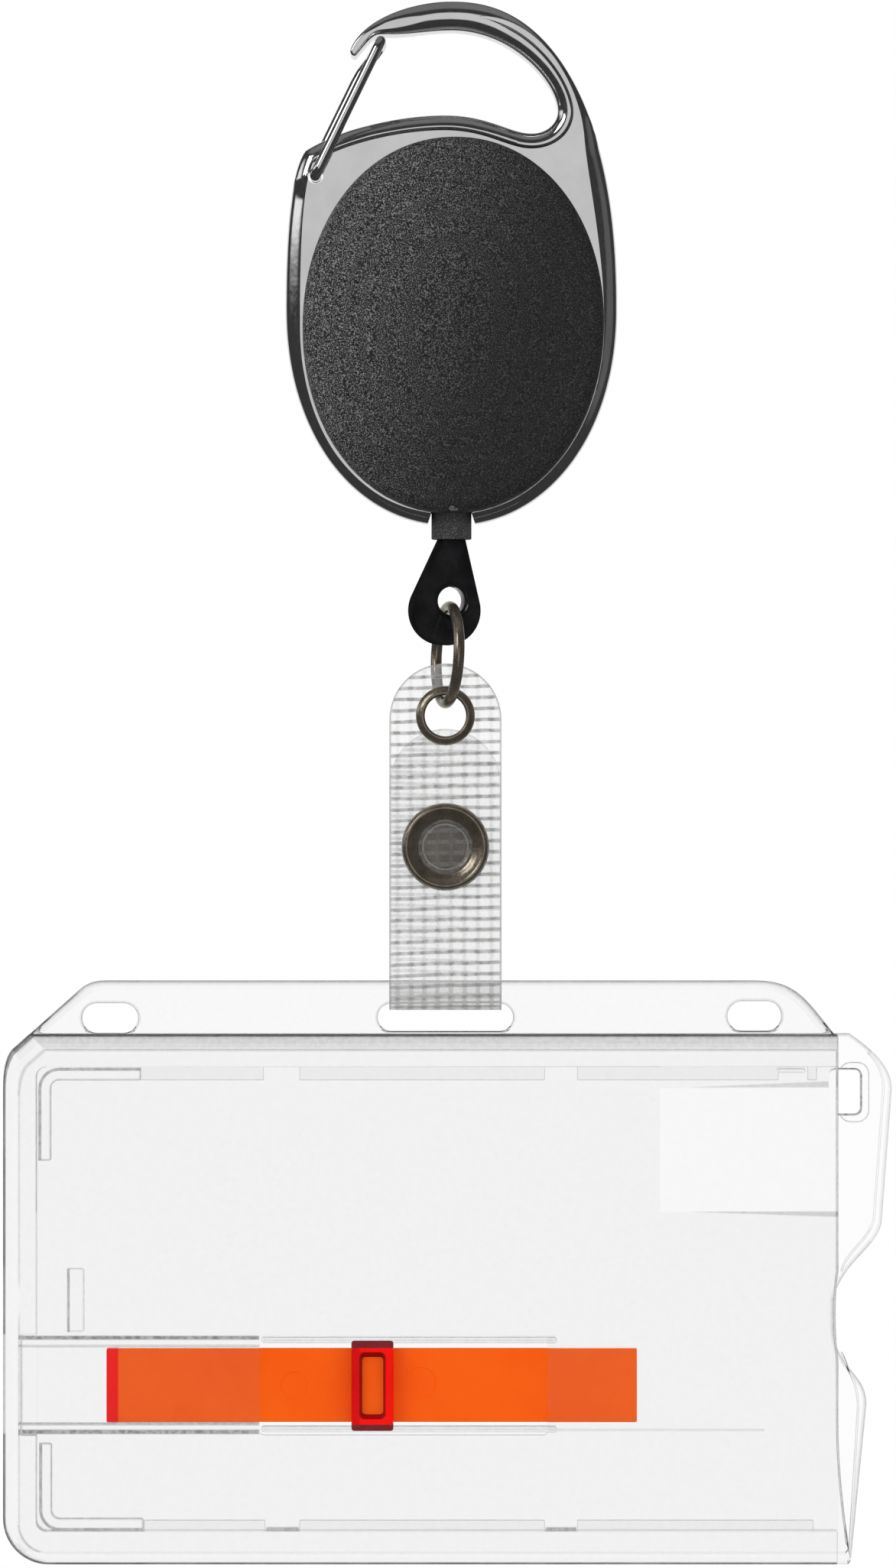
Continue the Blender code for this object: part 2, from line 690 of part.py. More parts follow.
def power_spring(material):
    inner, cup = AXLE_RADIUS + 2 * RUN, DRUM_RADIUS - DRUM_WALL
    outer = cup - 2 * RUN
    per_turn = 18
    total = SPRING_TURNS * per_turn
    path = [(-AXLE_RADIUS * 0.7, 0), (0, 0), (AXLE_RADIUS, 0)]
    for i in range(1, total):
        a, r = 2 * math.pi * i / per_turn, inner + (outer - inner) * i / total
        path.append((r * math.cos(a), r * math.sin(a)))
    path += [(outer + 0.1, 0), (cup + SPRING_NOTCH - RUN, 0)]
    curve = bpy.data.curves.new("power_spring", "CURVE")
    curve.dimensions = "3D"
    low, high = -spool_half - SEAT + RUN, GROOVE_HALF - 2 * RUN
    curve.extrude = (high - low) / 2 * MM
    spline = curve.splines.new("POLY")
    spline.points.add(len(path) - 1)
    for point, (x, z) in zip(spline.points, path):
        point.co = (x * MM, z * MM, 0, 1)
    source = link(bpy.data.objects.new("spring_path", curve))
    source.matrix_world = (Matrix.Translation(millimetres((0, (low + high) / 2, -REEL_DROP)))
                           @ Matrix.Rotation(math.pi / 2, 4, "X"))
    strip = source.modifiers.new("strip", "SOLIDIFY")
    strip.thickness = SPRING_STRIP * MM
    strip.offset = 0
    return mesh_of(source, "power_spring", material)


def cord_inner_layers(material):
    half = GROOVE_HALF - 2 * SEAT
    inner = DRUM_RADIUS + SEAT
    profile = [(inner, half), (layers_radius, half), (layers_radius, -half), (inner, -half)]
    return turned("cord_inner_layers", profile, (0, 0, -REEL_DROP), "Y", 32, material)


def cord_winding(material):
    per_loop = 24
    total = WINDING_LOOPS * per_loop
    start = -WINDING_LOOPS * WINDING_PITCH / 2
    path = []
    for i in range(total + 1):
        a = 2 * math.pi * i / per_loop
        path.append(Vector((winding_radius * math.cos(a), start + WINDING_PITCH * i / per_loop,
                            -REEL_DROP + winding_radius * math.sin(a))))
    path.insert(0, path[0] + (path[0] - path[1]).normalized() * CORD)
    path.append(path[-1] + (path[-1] - path[-2]).normalized() * CORD)
    loops = [path[i:i + per_loop] for i in range(0, len(path), per_loop)]
    nearest = min((p - q).length for a, b in zip(loops, loops[1:]) for p in a for q in b[1:-1]
                  if (p - q).length > WINDING_PITCH * 0.9)
    print(f"cord_winding: least gap to itself {nearest - CORD:.2f} mm")
    return wire("cord_winding", path, CORD, material, 1)


def cord_lead(material):
    mouth = guide_flange_bottom + GUIDE_FLANGE
    drop = -REEL_DROP - mouth
    a = math.asin(lead_radius / drop)
    leave = Vector((lead_radius * math.cos(a), -REEL_DROP - lead_radius * math.sin(a)))
    away = (Vector((0, mouth)) - leave).normalized()
    bend = bezier(leave, leave + away * 8, (0, mouth + 3.2), (0, mouth), 9)
    path = [(x, 0, z) for x, z in bend] + [(0, 0, mouth), (0, 0, guide_bottom + 2 * RUN)]
    return wire("cord_lead", path, CORD, material)


def cord_guide(material):
    bottom, top = guide_bottom, guide_flange_bottom + GUIDE_FLANGE
    flange = CORD_GAP / 2 + GUIDE_FLANGE_LAP
    bore, flare = GUIDE_BORE, GUIDE_BORE + GUIDE_FLARE
    edge = 0.3
    profile = [(flare, top), (flange, top), (flange, guide_flange_bottom), (GUIDE_RADIUS, guide_flange_bottom),
               (GUIDE_RADIUS, bottom + edge), (GUIDE_RADIUS - edge, bottom), (bore + edge, bottom),
               (bore, bottom + edge), (bore, top - 1.6), (bore + GUIDE_FLARE * 0.3, top - 0.7)]
    return turned("cord_guide", profile, (0, 0, 0), "Z", 24, material)


# Cord end

def drop_rotation():
    return Matrix.Rotation(lean, 4, "Y") @ Matrix.Rotation(turn, 4, "Z")


def drop_outline():
    neck = (DROP_NECK, -DROP_NECK_LENGTH)
    meet = math.radians(12)
    side = (DROP_RADIUS * math.cos(meet), -DROP_REACH + DROP_RADIUS * math.sin(meet))
    leave, arrive = (DROP_NECK + 0.15, neck[1] - 1.8), (side[0] - 0.5, side[1] + 2.4)
    right = [(DROP_NECK, 0)] + bezier(neck, leave, arrive, side, 6)
    bottom = arc((0, -DROP_REACH), DROP_RADIUS, 12, -192, 22)
    left = [(-x, z) for x, z in reversed(right)]
    return right + bottom + [(-side[0], side[1])] + left


def cord_drop(material):
    half = DROP_THICKNESS / 2
    drop = flat_shape("cord_drop", [drop_outline()], -half, half, material)
    round_edges(drop, DROP_EDGE)
    wide, beyond = DROP_HOLE + DROP_HOLE_FLARE, half + 0.5
    profile = [(0, beyond), (wide + 0.5, beyond), (DROP_HOLE, half - DROP_HOLE_FLARE),
               (DROP_HOLE, DROP_HOLE_FLARE - half), (wide + 0.5, -beyond), (0, -beyond)]
    cut(drop, turned("ring_hole", profile, (0, 0, -DROP_HOLE_REACH), "Y", 20, closed=False))
    cut(drop, rod("cord_bore", (0, 0, 1), (0, 0, -DROP_HOLE_REACH), cord_radius + RUN, 12))
    cut(drop, rod("knot_pocket", (0, 0, KNOT_RADIUS + SEAT - KNOT_REACH), (0, 0, -DROP_HOLE_REACH),
                  KNOT_RADIUS + SEAT, 12))
    return drop


def cord_tail(material):
    along = drop_rotation() @ Vector((0, 0, -1))
    start = Vector((0, 0, guide_bottom + RUN))
    neck = Vector((0, 0, drop_top))
    end = neck + along * (KNOT_REACH - KNOT_RADIUS - SEAT)
    path = [start, Vector((0, 0, guide_bottom)), neck + along * 0.2, end]
    return wire("cord_tail", path, CORD, material)


def cord_knot(material):
    bm = bmesh.new()
    bmesh.ops.create_uvsphere(bm, u_segments=12, v_segments=8, radius=KNOT_RADIUS * MM)
    mesh = bpy.data.meshes.new("cord_knot")
    bm.to_mesh(mesh)
    bm.free()
    obj = link(bpy.data.objects.new("cord_knot", mesh), material)
    obj.location = Vector(millimetres((0, 0, drop_top))) + drop_rotation() @ Vector((0, 0, -KNOT_REACH * MM))
    return smooth(obj)


def jump_ring(material):
    bpy.ops.mesh.primitive_torus_add(major_radius=RING_RADIUS * MM, minor_radius=RING_WIRE / 2 * MM,
                                     major_segments=32, minor_segments=8)
    obj = bpy.context.object
    obj.name = "jump_ring"
    for owner in list(obj.users_collection):
        owner.objects.unlink(obj)
    link(obj, material)
    obj.location = millimetres((ring_x, 0, ring_z))
    obj.rotation_euler = (0, math.pi / 2, math.radians(RING_TURN))
    return smooth(obj, 60)


# Strap

def leaf_path():
    top = (0, strap_top)
    start = (0, eyelet_z - LEAF_BEND_START)
    spread = (-LEAF_SPREAD, eyelet_z - LEAF_BEND_END)
    low = (-LEAF_SPREAD, snap_z - SOCKET_RADIUS)
    shank = (-fold_radius, hinge_z)
    middle = (start[1] + spread[1]) / 2
    path = [top] + bezier(start, (0, middle), (-LEAF_SPREAD, middle), spread, 5) + [spread]
    middle = (low[1] + shank[1]) / 2
    path += bezier(low, (-LEAF_SPREAD, middle), (-fold_radius, middle), shank, 5) + [shank]
    path += arc((0, fold_z), fold_radius, 180, 360, 14)
    return path + [(fold_radius, fold_z), (fold_radius, hinge_z - RUN / 2)]


def flap_path():
    shank = (fold_radius, hinge_z + RUN / 2)
    low = (LEAF_SPREAD, snap_z - SOCKET_RADIUS)
    high = (LEAF_SPREAD, eyelet_z - LEAF_BEND_END)
    end = (LEAF_SPREAD + FLAP_LIFT, flap_top)
    middle = (low[1] + shank[1]) / 2
    path = bezier(shank, (fold_radius, middle), (LEAF_SPREAD, middle), low, 5) + [low]
    return path + bezier(high, (LEAF_SPREAD, (high[1] + end[1]) / 2), (end[0], (high[1] + end[1]) / 2), end, 4) + [end]


def thickened(path, thickness):
    sides = ([], [])
    for i, point in enumerate(path):
        before, after = Vector(path[max(i - 1, 0)]), Vector(path[min(i + 1, len(path) - 1)])
        along = (after - before).normalized()
        across = Vector((-along.y, along.x)) * thickness / 2
        sides[0].append(tuple(Vector(point) + across))
        sides[1].append(tuple(Vector(point) - across))
    return sides[0] + sides[1][::-1]


def strip(name, path, material):
    low, high = ring_x - STRAP_WIDTH / 2, ring_x + STRAP_WIDTH / 2
    return flat_shape(name, [thickened(path, STRAP)], low, high, material, across="X")


def rounded_end(name, round_z, low):
    radius, reach = STRAP_WIDTH / 2, 3 * LEAF_SPREAD + fold_radius
    left, right = ring_x - radius, ring_x + radius
    corner = [(right + 1, low), (left - 1, low), (left - 1, round_z)]
    outline = arc((ring_x, round_z), radius, 180, 0, 18) + [(right, round_z), (right + 1, round_z)] + corner
    return flat_shape(name, [outline], -reach, reach)


def strap_front(material):
    obj = strip("strap_front", leaf_path(), material)
    combine(obj, rounded_end("front_round", strap_round, fold_z - 2 * fold_radius), "INTERSECT")
    cut(obj, rod("eyelet_hole", (ring_x, -2, eyelet_z), (ring_x, 0.9, eyelet_z), EYELET_BORE + EYELET_WALL + SEAT, 24))
    return obj


def strap_flap(material):
    obj = strip("strap_flap", flap_path(), material)
    combine(obj, rounded_end("flap_round", flap_top - STRAP_WIDTH / 2, fold_z - 2 * fold_radius), "INTERSECT")
    return obj


def eyelet(material):
    face = STRAP / 2 + SEAT
    front, bore, barrel = -face - EYELET_FLANGE, EYELET_BORE, EYELET_BORE + EYELET_WALL
    back = face + EYELET_FLANGE
    soft = EYELET_FLANGE * 0.45
    profile = [(bore, back), (barrel, back), (barrel, -face), (EYELET_RADIUS, -face),
               (EYELET_RADIUS - 0.1, front + soft), (EYELET_RADIUS - 0.45, front), (bore + 0.3, front),
               (bore, front + soft)]
    return turned("eyelet", profile, (ring_x, 0, eyelet_z), "Y", 24, material)


def eyelet_washer(material):
    face = STRAP / 2 + SEAT
    bore = EYELET_BORE + EYELET_WALL + SEAT
    back = face + EYELET_FLANGE * 0.8
    profile = [(bore, back), (EYELET_RADIUS - 0.25, back), (EYELET_RADIUS, back - 0.25), (EYELET_RADIUS, face),
               (bore, face)]
    return turned("eyelet_washer", profile, (ring_x, 0, eyelet_z), "Y", 24, material)


def prong_ring(name, side, material):
    near, far = leaf_face + SEAT, leaf_face + SEAT + SNAP_HEIGHT
    soft = (SNAP_RADIUS - SNAP_OPENING) * 0.3
    profile = [(SNAP_OPENING + soft, far), (SNAP_RADIUS - soft, far), (SNAP_RADIUS, far - soft),
               (SNAP_RADIUS, near), (SNAP_OPENING, near), (SNAP_OPENING, far - soft)]
    if side < 0:
        profile = [(r, -h) for r, h in reversed(profile)]
    return turned(name, profile, (ring_x, 0, snap_z), "Y", 24, material)


def snap_socket(material):
    face = -(LEAF_SPREAD - STRAP / 2) + SEAT
    boss_end, plate = -SNAP_MOUTH / 2, face + SOCKET_PLATE
    profile = [(0, plate), (SOCKET_BORE, plate), (SOCKET_BORE, boss_end), (SOCKET_BOSS, boss_end),
               (SOCKET_BOSS, plate), (SOCKET_RADIUS, plate), (SOCKET_RADIUS, face), (0, face)]
    return turned("snap_socket", profile, (ring_x, 0, snap_z), "Y", 24, material, closed=False)


def snap_stud(material):
    face = LEAF_SPREAD - STRAP / 2 - SEAT
    tip, plate = -SNAP_MOUTH / 2 - STUD_ENGAGEMENT, face - SOCKET_PLATE
    profile = [(0, face), (SNAP_RADIUS, face), (SNAP_RADIUS, plate), (STUD_RADIUS, plate), (STUD_RADIUS, tip + 0.15),
               (STUD_RADIUS - 0.15, tip), (0, tip)]
    return turned("snap_stud", profile, (ring_x, 0, snap_z), "Y", 24, material, closed=False)


# Card holder

def left_side(inset=0):
    left, low = body_left + inset, body_bottom + inset
    radius = HOLDER_CORNER - inset
    slope_top = (flange_left - (flange_top - body_top) / FLANGE_SLOPE + inset, body_top - inset)
    slope_low = (slope_top[0] - 2.0, slope_top[1] - 2.0 * FLANGE_SLOPE)
    points = arc((left + radius, low + radius), radius, 270, 180, 6) + [(left, low + radius)]
    points += bezier((left, body_top - 6.3 - inset), (left, body_top - 4.2 - inset),
                     (slope_low[0] - 0.8, slope_low[1] - 0.8), slope_low, 4)
    return points + [slope_low, slope_top]


def back_outline():
    upper, lower = body_right + TAB_UPPER, body_right + TAB_LOWER
    notch_x = body_right - TAB_NOTCH
    points = left_side() + [(body_right + 1.4, body_top)]
    points += bezier((body_right + 1.4, body_top), (body_right + 4.6, body_top - 2.2), (upper, body_top - 4.2),
                     (upper, body_top - 6.6), 5)
    points += [(upper, body_top - 6.6)]
    points += bezier((upper - 1.2, body_top - 22.4), (upper - 1.8, body_top - 25.4), (body_right + 0.6, body_top - 27),
                     (notch_x, body_top - 31.4), 6)
    points += bezier((notch_x, body_top - 31.4), (notch_x, body_top - 33), (notch_x, body_top - 34.5),
                     (notch_x, body_top - 35), 2)
    points += bezier((notch_x, body_top - 35), (body_right, body_top - 40), (lower, body_top - 40),
                     (lower, body_top - 43.8), 6)
    return points + [(lower, body_top - 43.8), (body_right + 1.6, body_bottom)]


def front_outline():
    notch_x = body_right - TAB_NOTCH
    middle = body_top - 33
    right = [(body_right, body_top), (body_right, middle + 6)]
    right += bezier((body_right, middle + 5), (notch_x, middle + 3), (notch_x, middle - 3), (body_right, middle - 5), 6)
    return left_side() + right + [(body_right, middle - 6), (body_right, body_bottom)]


def wall_outline():
    right = body_right - SEAT
    inner = [(right, cavity_bottom), (cavity_left, cavity_bottom), (cavity_left, cavity_top), (right, cavity_top)]
    return left_side(0.5) + [(right, body_top - 0.5)] + inner[::-1] + [(right, body_bottom + 0.5)]


def flange_outline():
    low = body_top - HOLDER_WALL / 2
    height = flange_top - body_top
    slope = (flange_left - height / FLANGE_SLOPE, body_top)
    end = (body_right - TAB_NOTCH, body_top)
    points = [(slope[0] + BAR_HEIGHT, low), slope, (flange_left, flange_top)]
    points += bezier((flange_right, flange_top), (flange_right + FLANGE_RIGHT * 0.52, flange_top),
                     (flange_right + FLANGE_RIGHT * 0.62, flange_top - height * 0.37), end, 6)
    return points + [end, (end[0], low)]


def flange_slots():
    middle = bar_bottom - SLOT_HEIGHT / 2
    left, right = body_left + SIDE_SLOT_LEFT, body_right - SIDE_SLOT_RIGHT
    return [rounded_slot(ring_x, middle, SLOT_WIDTH, SLOT_HEIGHT),
            rounded_slot(left, middle - 0.1, SIDE_SLOT_WIDTH, SIDE_SLOT_HEIGHT),
            rounded_slot(right, middle + 0.15, SIDE_SLOT_WIDTH, SIDE_SLOT_HEIGHT)]


def holder_back(material):
    inside = PANEL_BACK - BACK_PANEL
    clip_left = body_right
    clip = rectangle(clip_left, clip_left + CLIP_WIDTH, body_top - CLIP_DROP - CLIP_HEIGHT, body_top - CLIP_DROP)
    panel = flat_shape("holder_back", [back_outline(), clip], inside, PANEL_BACK, material)
    walls = flat_shape("holder_walls", [wall_outline()], SEAT - panel_inside, inside + 0.4)
    flange = flat_shape("holder_flange", [flange_outline()] + flange_slots(), -FLANGE_HALF, FLANGE_HALF)
    join(panel, walls, flange)
    low, high = slide_bottom - RUN, slide_top + RUN
    cut(panel, block("slide_channel", (cavity_left - CHANNEL, -panel_inside - 1, low),
                     (cavity_left + 1, inside - RUN, high)))
    return panel


def holder_front(material):
    low, high = slide_mid - THUMB_HEIGHT / 2 - WINDOW_MARGIN, slide_mid + THUMB_HEIGHT / 2 + WINDOW_MARGIN
    window = rectangle(window_left, window_right, low, high)
    panel = flat_shape("holder_front", [front_outline(), window], -PANEL_FRONT, -panel_inside, material)
    rail_left, rail_right = cavity_left + RUN, slide_left + BAR_WIDTH + WINDOW_RIGHT
    for name, near, far in (("upper_rail", slide_top + RUN, slide_top + RUN + RAIL),
                            ("lower_rail", slide_bottom - RUN - RAIL, slide_bottom - RUN)):
        join(panel, block(name, (rail_left, -panel_inside - SEAT, near), (rail_right, BAR_DEPTH - slide_front, far)))
    return panel


def ejector_slide(material):
    back = BAR_DEPTH - slide_front
    bar = block("ejector_slide", (slide_left, -slide_front, slide_bottom), (slide_left + BAR_WIDTH, back, slide_top),
                material)
    join(bar, block("pusher", (slide_left + 0.01, back - 0.4, slide_bottom + 0.01),
                    (slide_left + PUSHER, PANEL_BACK - BACK_PANEL - 2 * RUN, slide_top - 0.01)))
    right = thumb_left + THUMB_WIDTH
    front, seat = -PANEL_FRONT - THUMB_PROUD, SEAT - slide_front
    under = -panel_inside - SEAT - RUN
    low, high = slide_mid - THUMB_HEIGHT / 2, slide_mid + THUMB_HEIGHT / 2
    join(bar, block("thumb_neck", (thumb_left + 0.3, under - 0.4, slide_bottom + 0.3),
                    (right - 0.3, seat, slide_top - 0.3)))
    join(bar, block("thumb_frame", (thumb_left, front, low), (right, under, high)))
    cut(bar, block("thumb_recess", (thumb_left + THUMB_WALL, front - 1, low + THUMB_CAP),
                   (right - THUMB_WALL, front + THUMB_RECESS, high - THUMB_CAP)))
    return bar


# Build

for old in list(bpy.data.objects):
    bpy.data.objects.remove(old)
parts = collection(OBJECT_NAME)
cutters = collection("cutters")

chrome = finish("chrome", (0.72, 0.72, 0.73), 0.12, 1.0)
black_grain = finish("black_grained_plastic", (0.03, 0.03, 0.032), 0.55)
black_gloss = finish("black_gloss_plastic", (0.012, 0.012, 0.013), 0.2)
gunmetal = finish("gunmetal", (0.22, 0.2, 0.17), 0.25, 1.0)
spring_steel = finish("spring_steel", (0.45, 0.46, 0.48), 0.3, 1.0)
white_plastic = finish("white_plastic", (0.75, 0.75, 0.73), 0.4)
cord_black = finish("black_cord", (0.02, 0.02, 0.02), 0.8)
vinyl = finish("clear_vinyl", (0.85, 0.86, 0.86), 0.25, alpha=0.6)
clear = finish("frosted_clear_plastic", (0.92, 0.93, 0.93), 0.3, alpha=0.45)
orange = finish("orange_plastic", (0.95, 0.13, 0.005), 0.3)

carabiner_frame(chrome)
front_cover(black_grain)
back_cover(black_grain)
axle_post(spring_steel)
cord_guide(black_grain)
cord_lead(cord_black)
power_spring(spring_steel)

gate_pivot = pivot("gate_pivot", (gate_foot()[0], 0, gate_foot()[1]))
hang(gate_pivot, wire_gate(chrome))

spool_pivot = pivot("spool_pivot", (0, 0, -REEL_DROP))
hang(spool_pivot, spool(white_plastic), spring_cover(white_plastic), cord_inner_layers(cord_black),
     cord_winding(cord_black))

cord_end = pivot("cord_end_slide", (0, 0, drop_top))
hang(cord_end, cord_tail(cord_black), cord_knot(cord_black))

drop_pivot = pivot("drop_pivot", (0, 0, drop_top), cord_end, drop_rotation())
drop = cord_drop(black_gloss)
drop.parent = drop_pivot

ring_pivot = pivot("ring_pivot", (ring_x, 0, ring_z), drop_pivot)
hang(ring_pivot, jump_ring(gunmetal))

strap_pivot = pivot("strap_pivot", (ring_x, 0, ring_low), ring_pivot)
hang(strap_pivot, strap_front(vinyl), eyelet(gunmetal), eyelet_washer(gunmetal),
     prong_ring("snap_front_ring", -1, gunmetal), snap_socket(gunmetal))

flap_pivot = pivot("flap_pivot", (ring_x, fold_radius + STRAP / 2, hinge_z), strap_pivot)
hang(flap_pivot, strap_flap(vinyl), snap_stud(gunmetal), prong_ring("snap_back_ring", 1, gunmetal))

holder_pivot = pivot("holder_pivot", (ring_x, 0, fold_z), strap_pivot)
hang(holder_pivot, holder_back(clear), holder_front(clear))

slide_pivot = pivot("slide_pivot", (thumb_left + THUMB_WIDTH / 2, 0, slide_mid), holder_pivot)
hang(slide_pivot, ejector_slide(orange))
bpy.context.view_layer.update()
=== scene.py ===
# Looks of the retractable badge reel: finishes and fine surfaces laid over its fixed frame.
# Pieces are modelled in millimetres and brought to metres as each one is finished.

import math

import bmesh
import bpy
from mathutils import Matrix, Vector


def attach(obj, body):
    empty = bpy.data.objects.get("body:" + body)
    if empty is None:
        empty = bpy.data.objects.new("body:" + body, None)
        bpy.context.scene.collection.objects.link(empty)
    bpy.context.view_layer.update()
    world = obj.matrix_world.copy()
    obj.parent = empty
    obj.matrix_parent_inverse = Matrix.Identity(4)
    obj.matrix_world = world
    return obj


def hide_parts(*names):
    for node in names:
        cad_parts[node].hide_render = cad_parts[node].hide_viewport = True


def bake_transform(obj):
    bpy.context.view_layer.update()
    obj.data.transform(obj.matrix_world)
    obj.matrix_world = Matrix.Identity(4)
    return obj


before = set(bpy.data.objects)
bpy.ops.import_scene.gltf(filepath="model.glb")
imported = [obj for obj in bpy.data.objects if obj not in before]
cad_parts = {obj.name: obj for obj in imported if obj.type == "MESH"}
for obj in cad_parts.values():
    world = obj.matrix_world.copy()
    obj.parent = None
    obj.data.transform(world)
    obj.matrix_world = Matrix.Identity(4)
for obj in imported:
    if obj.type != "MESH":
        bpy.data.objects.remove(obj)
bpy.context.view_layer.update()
mm = 0.001
weldReach = 1e-4  # millimetres
print("frame loaded:", len(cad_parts), "nodes")


# Outlines, as (x, z) points

def ovalRun(centre, halfWidth, halfHeight, power, start, end, count, toEnd=False):
    points = []
    for i in range(count + toEnd):
        a = math.radians(start + (end - start) * i / count)
        c, s = math.cos(a), math.sin(a)
        x = halfWidth * math.copysign(abs(c) ** (2 / power), c)
        z = halfHeight * math.copysign(abs(s) ** (2 / power), s)
        points.append((centre[0] + x, centre[1] + z))
    return points


def arcRun(centre, radius, start, end, count, toEnd=False):
    return ovalRun(centre, radius, radius, 2, start, end, count, toEnd)


def bezierRun(start, leave, arrive, end, count):
    points = []
    for i in range(count):
        t = i / count
        weights = ((1 - t) ** 3, 3 * t * (1 - t) ** 2, 3 * t * t * (1 - t), t ** 3)
        corners = (start, leave, arrive, end)
        points.append(tuple(sum(w * p[k] for w, p in zip(weights, corners)) for k in (0, 1)))
    return points


def curveRun(start, *spans):
    # each span is (leave, arrive, end, count) and starts where the last one ended
    points = []
    for leave, arrive, end, count in spans:
        points += bezierRun(start, leave, arrive, end, count)
        start = end
    return points


def roundSlot(x, z, width, height, count=14):
    reach, radius = (width - height) / 2, height / 2
    right = arcRun((x + reach, z), radius, 90, -90, count, True)
    return right + arcRun((x - reach, z), radius, 270, 90, count, True)


def boxRun(left, right, low, high, radius=0.3, count=5):
    points = []
    for x, z, start in ((right - radius, high - radius, 90), (right - radius, low + radius, 0),
                        (left + radius, low + radius, -90), (left + radius, high - radius, -180)):
        points += arcRun((x, z), radius, start, start - 90, count, True)
    return points


def sideStep(before, after, reach):
    # the step to the left of a run at one of its points
    along = Vector(after) - Vector(before)
    return Vector((-along.y, along.x)).normalized() * reach


def strokeRun(path, width):
    sides = ([], [])
    for i, point in enumerate(path):
        step = sideStep(path[max(i - 1, 0)], path[min(i + 1, len(path) - 1)], width / 2)
        sides[0].append(tuple(Vector(point) + step))
        sides[1].append(tuple(Vector(point) - step))
    return sides[0] + sides[1][::-1]


def spreadRun(loop, spread):
    # moves a smooth outline sideways, outwards for a clockwise one
    made = []
    for i, point in enumerate(loop):
        step = sideStep(loop[i - 1], loop[(i + 1) % len(loop)], spread)
        made.append(tuple(Vector(point) + step))
    return made


def atDepth(loop, depth):
    return [(x, depth, z) for x, z in loop]


def clamp(value):
    return max(0, min(1, value))


# Modelling

def newObject(name, bm):
    mesh = bpy.data.meshes.new(name)
    bm.to_mesh(mesh)
    bm.free()
    obj = bpy.data.objects.new(name, mesh)
    bpy.context.scene.collection.objects.link(obj)
    return obj


def addLoop(bm, points):
    verts = [bm.verts.new(p) for p in points]
    return verts, [bm.edges.new((v, verts[i - 1])) for i, v in enumerate(verts)]


def everything(bm):
    return list(bm.verts) + list(bm.edges) + list(bm.faces)


def weld(bm):
    bmesh.ops.remove_doubles(bm, verts=bm.verts, dist=weldReach)
    bmesh.ops.recalc_face_normals(bm, faces=bm.faces)


def sliceAt(bm, axis, place):
    # cuts all faces along a plane square to the axis
    turn = [float(letter == axis) for letter in "XYZ"]
    bmesh.ops.bisect_plane(bm, geom=everything(bm), dist=1e-5, plane_no=turn,
                           plane_co=[place * t for t in turn])


def openMesh(obj):
    bm = bmesh.new()
    bm.from_mesh(obj.data)
    return bm


def closeMesh(bm, obj):
    bm.to_mesh(obj.data)
    bm.free()


def slab(name, loop, low, high):
    bm = bmesh.new()
    faces = bmesh.ops.contextual_create(bm, geom=addLoop(bm, atDepth(loop, low))[1])["faces"]
    grown = bmesh.ops.extrude_face_region(bm, geom=faces, use_keep_orig=True)["geom"]
    verts = [g for g in grown if isinstance(g, bmesh.types.BMVert)]
    bmesh.ops.translate(bm, vec=(0, high - low, 0), verts=verts)
    bmesh.ops.recalc_face_normals(bm, faces=bm.faces)
    return newObject(name, bm)


def rings(name, loops, closeStart=True, outwards=None):
    # loops are lists of (x, y, z) with the same count, bridged one to the next
    bm = bmesh.new()
    last = None
    for loop in loops:
        verts, edges = addLoop(bm, loop)
        if last:
            bmesh.ops.bridge_loops(bm, edges=last + edges)
        elif closeStart:
            bm.faces.new(verts)
        last = edges
    bm.faces.new(verts)
    bmesh.ops.recalc_face_normals(bm, faces=bm.faces)
    bm.normal_update()
    if outwards and sum(f.normal.y * f.calc_area() for f in bm.faces) * outwards < 0:
        bmesh.ops.reverse_faces(bm, faces=bm.faces)
    return newObject(name, bm)


def lathe(name, profile, centre, axis="Y", steps=64, closed=True):
    # profile is (radius, height) points, spun round the axis through the centre
    bm = bmesh.new()
    verts = [bm.verts.new((r, h, 0) if axis == "Y" else (r, 0, h)) for r, h in profile]
    edges = [bm.edges.new(pair) for pair in zip(verts, verts[1:])]
    if closed:
        edges.append(bm.edges.new((verts[-1], verts[0])))
    turn = (0, 1, 0) if axis == "Y" else (0, 0, 1)
    bmesh.ops.spin(bm, geom=verts + edges, cent=(0, 0, 0), axis=turn, angle=2 * math.pi, steps=steps,
                   use_merge=True, use_duplicate=False)
    weld(bm)
    bmesh.ops.translate(bm, vec=centre, verts=bm.verts)
    return newObject(name, bm)


def flatBox(name, left, right, low, high, front, back, edge):
    sides = list(zip((left, front, low), (right, back, high)))
    bm = bmesh.new()
    bmesh.ops.create_cube(bm, size=1)
    bmesh.ops.scale(bm, vec=[b - a for a, b in sides], verts=bm.verts)
    bmesh.ops.translate(bm, vec=[(a + b) / 2 for a, b in sides], verts=bm.verts)
    if edge:
        bmesh.ops.bevel(bm, geom=list(bm.edges), offset=edge, offset_type="OFFSET", affect="EDGES",
                        segments=2, profile=0.5, material=-1)
    return newObject(name, bm)


def rod(name, radius, high, low, centre=(0, 0, 0), axis="Z"):
    return lathe(name, [(0, high), (radius, high), (radius, low), (0, low)], centre, axis, 32, False)


def ball(name, radius, centre, segments, levels, stretch=(1, 1, 1)):
    bm = bmesh.new()
    bmesh.ops.create_uvsphere(bm, u_segments=segments, v_segments=levels, radius=radius)
    bmesh.ops.scale(bm, vec=stretch, verts=bm.verts)
    bmesh.ops.translate(bm, vec=centre, verts=bm.verts)
    return newObject(name, bm)


def madeMesh(obj):
    # what its modifiers or its curve make of it
    bpy.context.view_layer.update()
    graph = bpy.context.evaluated_depsgraph_get()
    return bpy.data.meshes.new_from_object(obj.evaluated_get(graph))


